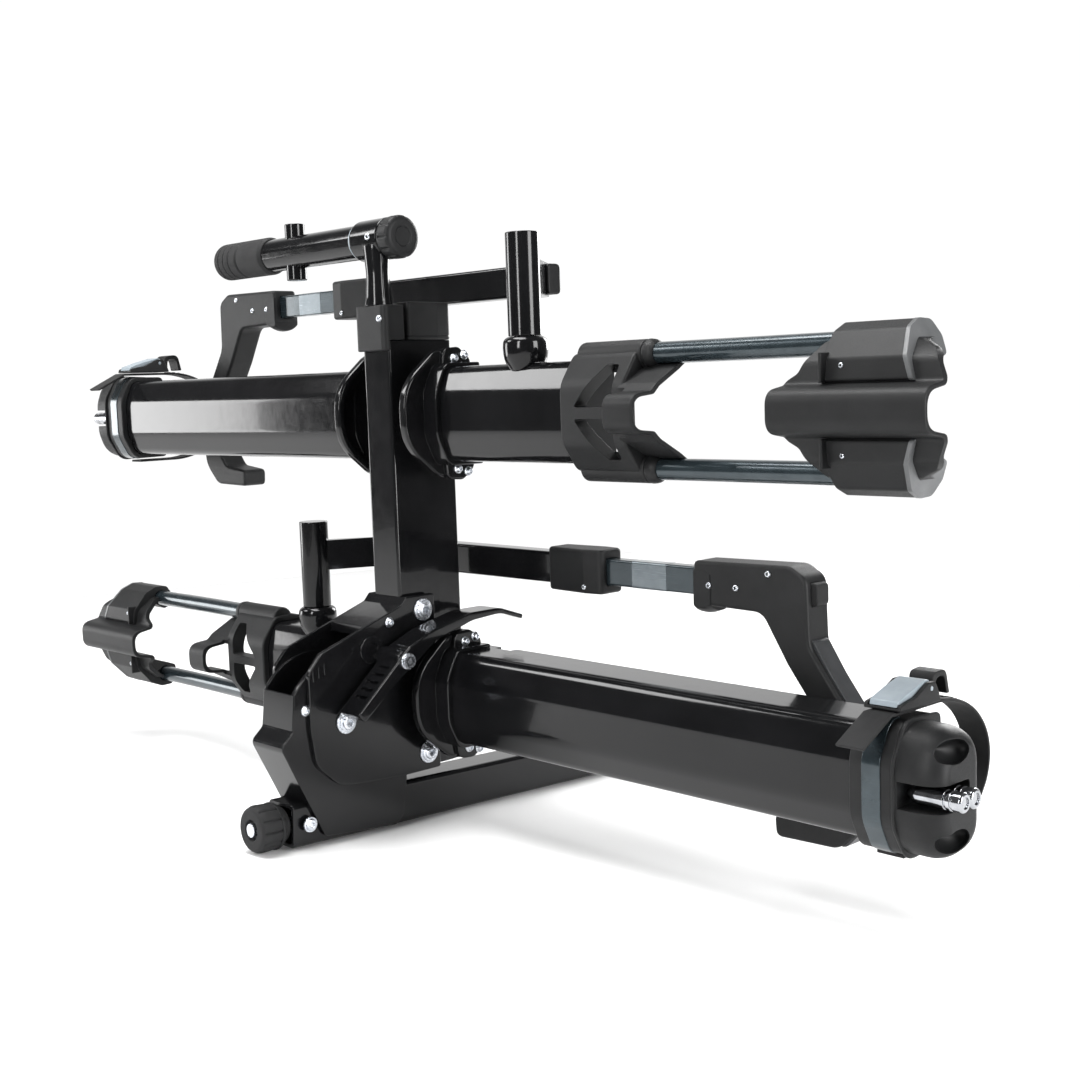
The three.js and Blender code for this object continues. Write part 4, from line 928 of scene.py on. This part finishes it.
def arm(level, matrix):
    key = level.lower()
    cup = lathe([(42, 9), (47, 17, 2), (58, 24, 6), (72, 26, 8), (82, 25, 5), (POST_FOOT - GAP, 20, 2),
                 (POST_FOOT - GAP, 12)], "Z", (-POST_X, POST_Y, 0), 56)
    cut(cup, prism(tray_section(-GAP, PAST_RIM), -CRADLE_END - 20, 0, "X", 0))
    add(cup, rod(11.8, POST_FOOT - 3, POST_TOP - 8, "Z", (-POST_X, POST_Y, 0), 32))
    place(f"{level}_post_cup", cup, matrix, PAINT, nodes=f"{key}_arm_mount")
    post = rod(19, POST_FOOT, POST_TOP, "Z", (-POST_X, POST_Y, 0), 56, 1.2)
    elbow = outline([(-POST_X - 13, POST_Y), (-POST_X + 13, POST_Y), (ELBOW_X - 16, ARM_Y - 13, 20),
                     (ELBOW_X + 30, ARM_Y - 13), (ELBOW_X + 30, ARM_Y + 13), (ELBOW_X, ARM_Y + 13, 20)], 10)
    sleeve = prism(outline([(ARM_Y - 12.5, ARM_RISE - 19, 4), (ARM_Y + 12.5, ARM_RISE - 19, 4),
                            (ARM_Y + 12.5, ARM_RISE + 19, 4), (ARM_Y - 12.5, ARM_RISE + 19, 4)]),
                   ELBOW_X + 10, OUTER_END, "X", 0.8)
    add(post, prism(elbow, ARM_RISE - 20, ARM_RISE + 20, "Z", 1.0, 3), sleeve)
    cut(post, rod(12.4, POST_FOOT - 5, POST_TOP - 6, "Z", (-POST_X, POST_Y, 0), 32),
        slab(ELBOW_X + 34, OUTER_END + 5, ARM_Y - 9.5, ARM_Y + 9.5, ARM_RISE - 16, ARM_RISE + 16))
    place(f"{level}_arm_tube", post, matrix, PAINT, nodes=f"{key}_arm_base")
    plug = prism(outline([(ARM_Y - 9, ARM_RISE - 18, 6), (ARM_Y + 12, ARM_RISE - 18, 6),
                          (ARM_Y + 12, ARM_RISE + 18, 6), (ARM_Y - 9, ARM_RISE + 18, 6)]),
                 ELBOW_X - 20, ELBOW_X + 4, "X", 2.5, 3)
    place(f"{level}_arm_plug", plug, matrix, PLASTIC, f"{key}_arm")
    body = outline([(162, ARM_Y - 17, 6), (226, ARM_Y - 22, 12), (252, ARM_Y - 18, 8), (252, ARM_Y + 18, 8),
                    (226, ARM_Y + 22, 12), (162, ARM_Y + 17, 6)])
    housing = prism(body, ARM_RISE - 26, ARM_RISE + 26, "Z", 4.0, 4)
    cut(housing, slab(150, OUTER_END + GAP, ARM_Y - 12.9, ARM_Y + 12.9, ARM_RISE - 19.4, ARM_RISE + 19.4),
        slab(190, 260, ARM_Y - 9.5, ARM_Y + 9.5, ARM_RISE - 16, ARM_RISE + 16))
    place(f"{level}_ratchet_case", housing, matrix, PLASTIC, nodes=f"{key}_ratchet_housing")
    square_tube = outline([(ARM_Y - 9, ARM_RISE - 15.5, 3), (ARM_Y + 9, ARM_RISE - 15.5, 3),
                           (ARM_Y + 9, ARM_RISE + 15.5, 3), (ARM_Y - 9, ARM_RISE + 15.5, 3)])
    place(f"{level}_inner_tube", prism(square_tube, 10, SLIDER_END, "X", 0.8), matrix, SLATE,
          nodes=f"{key}_arm_slider")
    rise = ARM_RISE
    side = outline([(392, rise + 24, 6), (520, rise + 26, 20), (HEAD_END, rise + 14, 16), (544, 100, 30),
                    (566, 70, 30), (596, 30, 50), (610, -20, 50), (608, -76, 40), (576, -106, 22),
                    (498, -108, 8), (496, -84, 8), (548, -78, 20), (570, -52, 30), (568, -10, 40),
                    (548, 36, 40), (516, 78, 40), (484, rise - 26, 20), (392, rise - 24, 6)], 10)
    hook = prism(side, -ARM_Y - HOOK_WIDTH / 2, -ARM_Y + HOOK_WIDTH / 2, "A", 4.0, 4)
    cut(hook, slab(380, SLIDER_END + GAP, ARM_Y - 9.4, ARM_Y + 9.4, rise - 15.9, rise + 15.9),
        slab(BUTTON_X - 3.4, HEAD_END + 50, ARM_Y - 10.4, ARM_Y + 10.4, rise - 15.4, rise + 9.4))
    place(f"{level}_hook", hook, matrix, PLASTIC, nodes=f"{key}_wheel_hook")
    tip = HEAD_END + 8
    side = outline([(BUTTON_X, rise - 15, 3), (tip, rise - 15, 6), (tip, rise + 9, 6),
                    (BUTTON_X, rise + 9, 3)])
    key_cap = prism(side, -ARM_Y - 10, -ARM_Y + 10, "A", 1.6, 3)
    path = [(545, 106), (567, 72), (598, 31), (611, -20), (609, -77), (582, -104)]
    pad = outline([(x + 0.9, z, 30) for x, z in path] + [(x - 8, z, 30) for x, z in reversed(path)], 6)
    place(f"{level}_hook_pad", prism(pad, -ARM_Y - 13, -ARM_Y + 13, "A", 0.8), matrix, SOFT_GREY,
          f"{key}_slider")
    bell = lathe([(392.5, 24), (392.5, 28, 4), (404, 29, 6), (416, 25)], "X", (0, ARM_Y, rise - 6), 48)
    cut(bell, slab(380, SLIDER_END, ARM_Y - 9.4, ARM_Y + 9.4, rise - 15.9, rise + 15.9),
        slab(380, 430, ARM_Y - 60, ARM_Y - 19.6, 0, 300), slab(380, 430, ARM_Y + 19.6, ARM_Y + 60, 0, 300))
    place(f"{level}_hook_bell", bell, matrix, PLASTIC, f"{key}_slider")
    for k, (x, z) in enumerate([(414, rise - 2), (451, rise - 2), (494, rise + 16)]):
        screw((x, ARM_Y - HOOK_WIDTH / 2, z), -1, 3.6, axis="Y", matrix=matrix, body=f"{key}_slider",
              height=1.8, name=f"{level}_hook_screw_{k + 1}")
    screw((226, ARM_Y - 21.4, rise - 18), -1, 3.2, axis="Y", matrix=matrix, body=f"{key}_arm", height=1.6,
          name=f"{level}_ratchet_screw")
    wrap = outline([(ARM_Y - 9.2, rise - 15.7, 3), (ARM_Y + 9.2, rise - 15.7, 3),
                    (ARM_Y + 9.2, rise + 15.7, 3), (ARM_Y - 9.2, rise + 15.7, 3)])
    place(f"{level}_inner_band", prism(wrap, BAND_FROM, BAND_TO, "X", 0.1), matrix, LIGHT_SLATE,
          f"{key}_slider")
    place(f"{level}_button", key_cap, matrix, RUBBER, nodes=f"{key}_release_button")


# ---------------------------------------------------------------- the whole rack
MIRROR = Matrix.Diagonal((-1, 1, 1, 1))
LOWER_RISE, UPPER_RISE = 153, 496           # tray centres above the drawbar's underside

drawbar()
hitch_bracket()
pivot_arm()
spine()
pedal()
stand()
for level, height, flip in (("Lower", LOWER_RISE, False), ("Upper", UPPER_RISE, True)):
    tier = MAST @ Matrix.Translation((0, 0, height))
    turned = tier @ MIRROR
    cradle_side, strap_side = (tier, turned) if flip else (turned, tier)
    key = level.lower()
    tray(CRADLE_END, f"{level}_tray_short", f"{key}_tray_cradle_side", cradle_side)
    tray(STRAP_END, f"{level}_tray_long", f"{key}_tray_strap_side", strap_side)
    collar(f"{level}_bell_cradle", f"{key}_collar_cradle_side", cradle_side)
    collar(f"{level}_bell_strap", f"{key}_collar_strap_side", strap_side)
    cradle(level, cradle_side)
    strap_end(level, strap_side)
    strap(level, strap_side)
    arm(level, turned if flip else tier)

# ---------------------------------------------------------------- stage
FLOOR_REACH, FLOOR_DROP = 2.5, 0.002        # m
BRIGHT_SIDE = (-0.72, 0.69, -0.05)    # where the white backdrop stands


def lamp(name, at, toward, size, power, tall=None):
    data = bpy.data.lights.new(name, "AREA")
    data.shape = "RECTANGLE"
    data.size = size
    data.size_y = tall or size
    data.energy = power
    made = bpy.data.objects.new(name, data)
    made.location = at
    made.rotation_mode = "QUATERNION"
    made.rotation_quaternion = (Vector(toward) - Vector(at)).to_track_quat("-Z", "Y")
    made.visible_camera = False
    scene.collection.objects.link(made)


def studio():
    level_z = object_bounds()[0].z - FLOOR_DROP
    corners = [(a * FLOOR_REACH, b * FLOOR_REACH, level_z) for a, b in ((-1, -1), (1, -1), (1, 1), (-1, 1))]
    floor = bare_object("Floor", corners, [(0, 1, 2, 3)])
    f = Finish("Pale_floor", Roughness=0.9)
    f.feed("Base Color", f.tint(f.noise(3), (0.86, 0.86, 0.86), (0.9, 0.9, 0.9)))
    floor.data.materials.append(f.mat)
    world = bpy.data.worlds.new("Studio")
    world.use_nodes = True
    nodes, links = world.node_tree.nodes, world.node_tree.links
    coords = nodes.new("ShaderNodeTexCoord")
    facing = nodes.new("ShaderNodeVectorMath")
    facing.operation = "DOT_PRODUCT"
    facing.inputs[1].default_value = BRIGHT_SIDE
    fade = nodes.new("ShaderNodeMapRange")
    fade.interpolation_type = "SMOOTHSTEP"
    for name, value in (("From Min", 0.50), ("From Max", 0.84), ("To Min", 0.12), ("To Max", 1.02)):
        fade.inputs[name].default_value = value
    links.new(coords.outputs["Generated"], facing.inputs[0])
    links.new(facing.outputs["Value"], fade.inputs["Value"])
    links.new(fade.outputs["Result"], nodes["Background"].inputs["Strength"])
    nodes["Background"].inputs["Color"].default_value = (1, 1, 1, 1)
    scene.world = world
    lamp("Overhead", (-0.3, -0.9, 3.2), (0, -0.3, 0.4), 2.4, 130, 1.2)
    lamp("Left_panel", (-4.2, -2.1, 0.5), (-0.3, -0.35, 0.45), 1.3, 60, 1.6)
    lamp("High_left_panel", (-1.5, -1.65, 1.7), (0.3, -0.4, 0.15), 0.8, 22, 0.7)
    lamp("Front_panel", (0.9, -4.0, 1.6), (0, -0.3, 0.4), 0.7, 90, 2.2)
    lamp("Right_panel", (3.6, 0.2, 1.0), (0.1, -0.3, 0.4), 1.3, 140, 2.4)
    lamp("Back_panel", (-0.6, 3.4, 1.6), (0, -0.3, 0.4), 1.6, 110, 2.0)
    scene.view_settings.view_transform = "Standard"


studio()
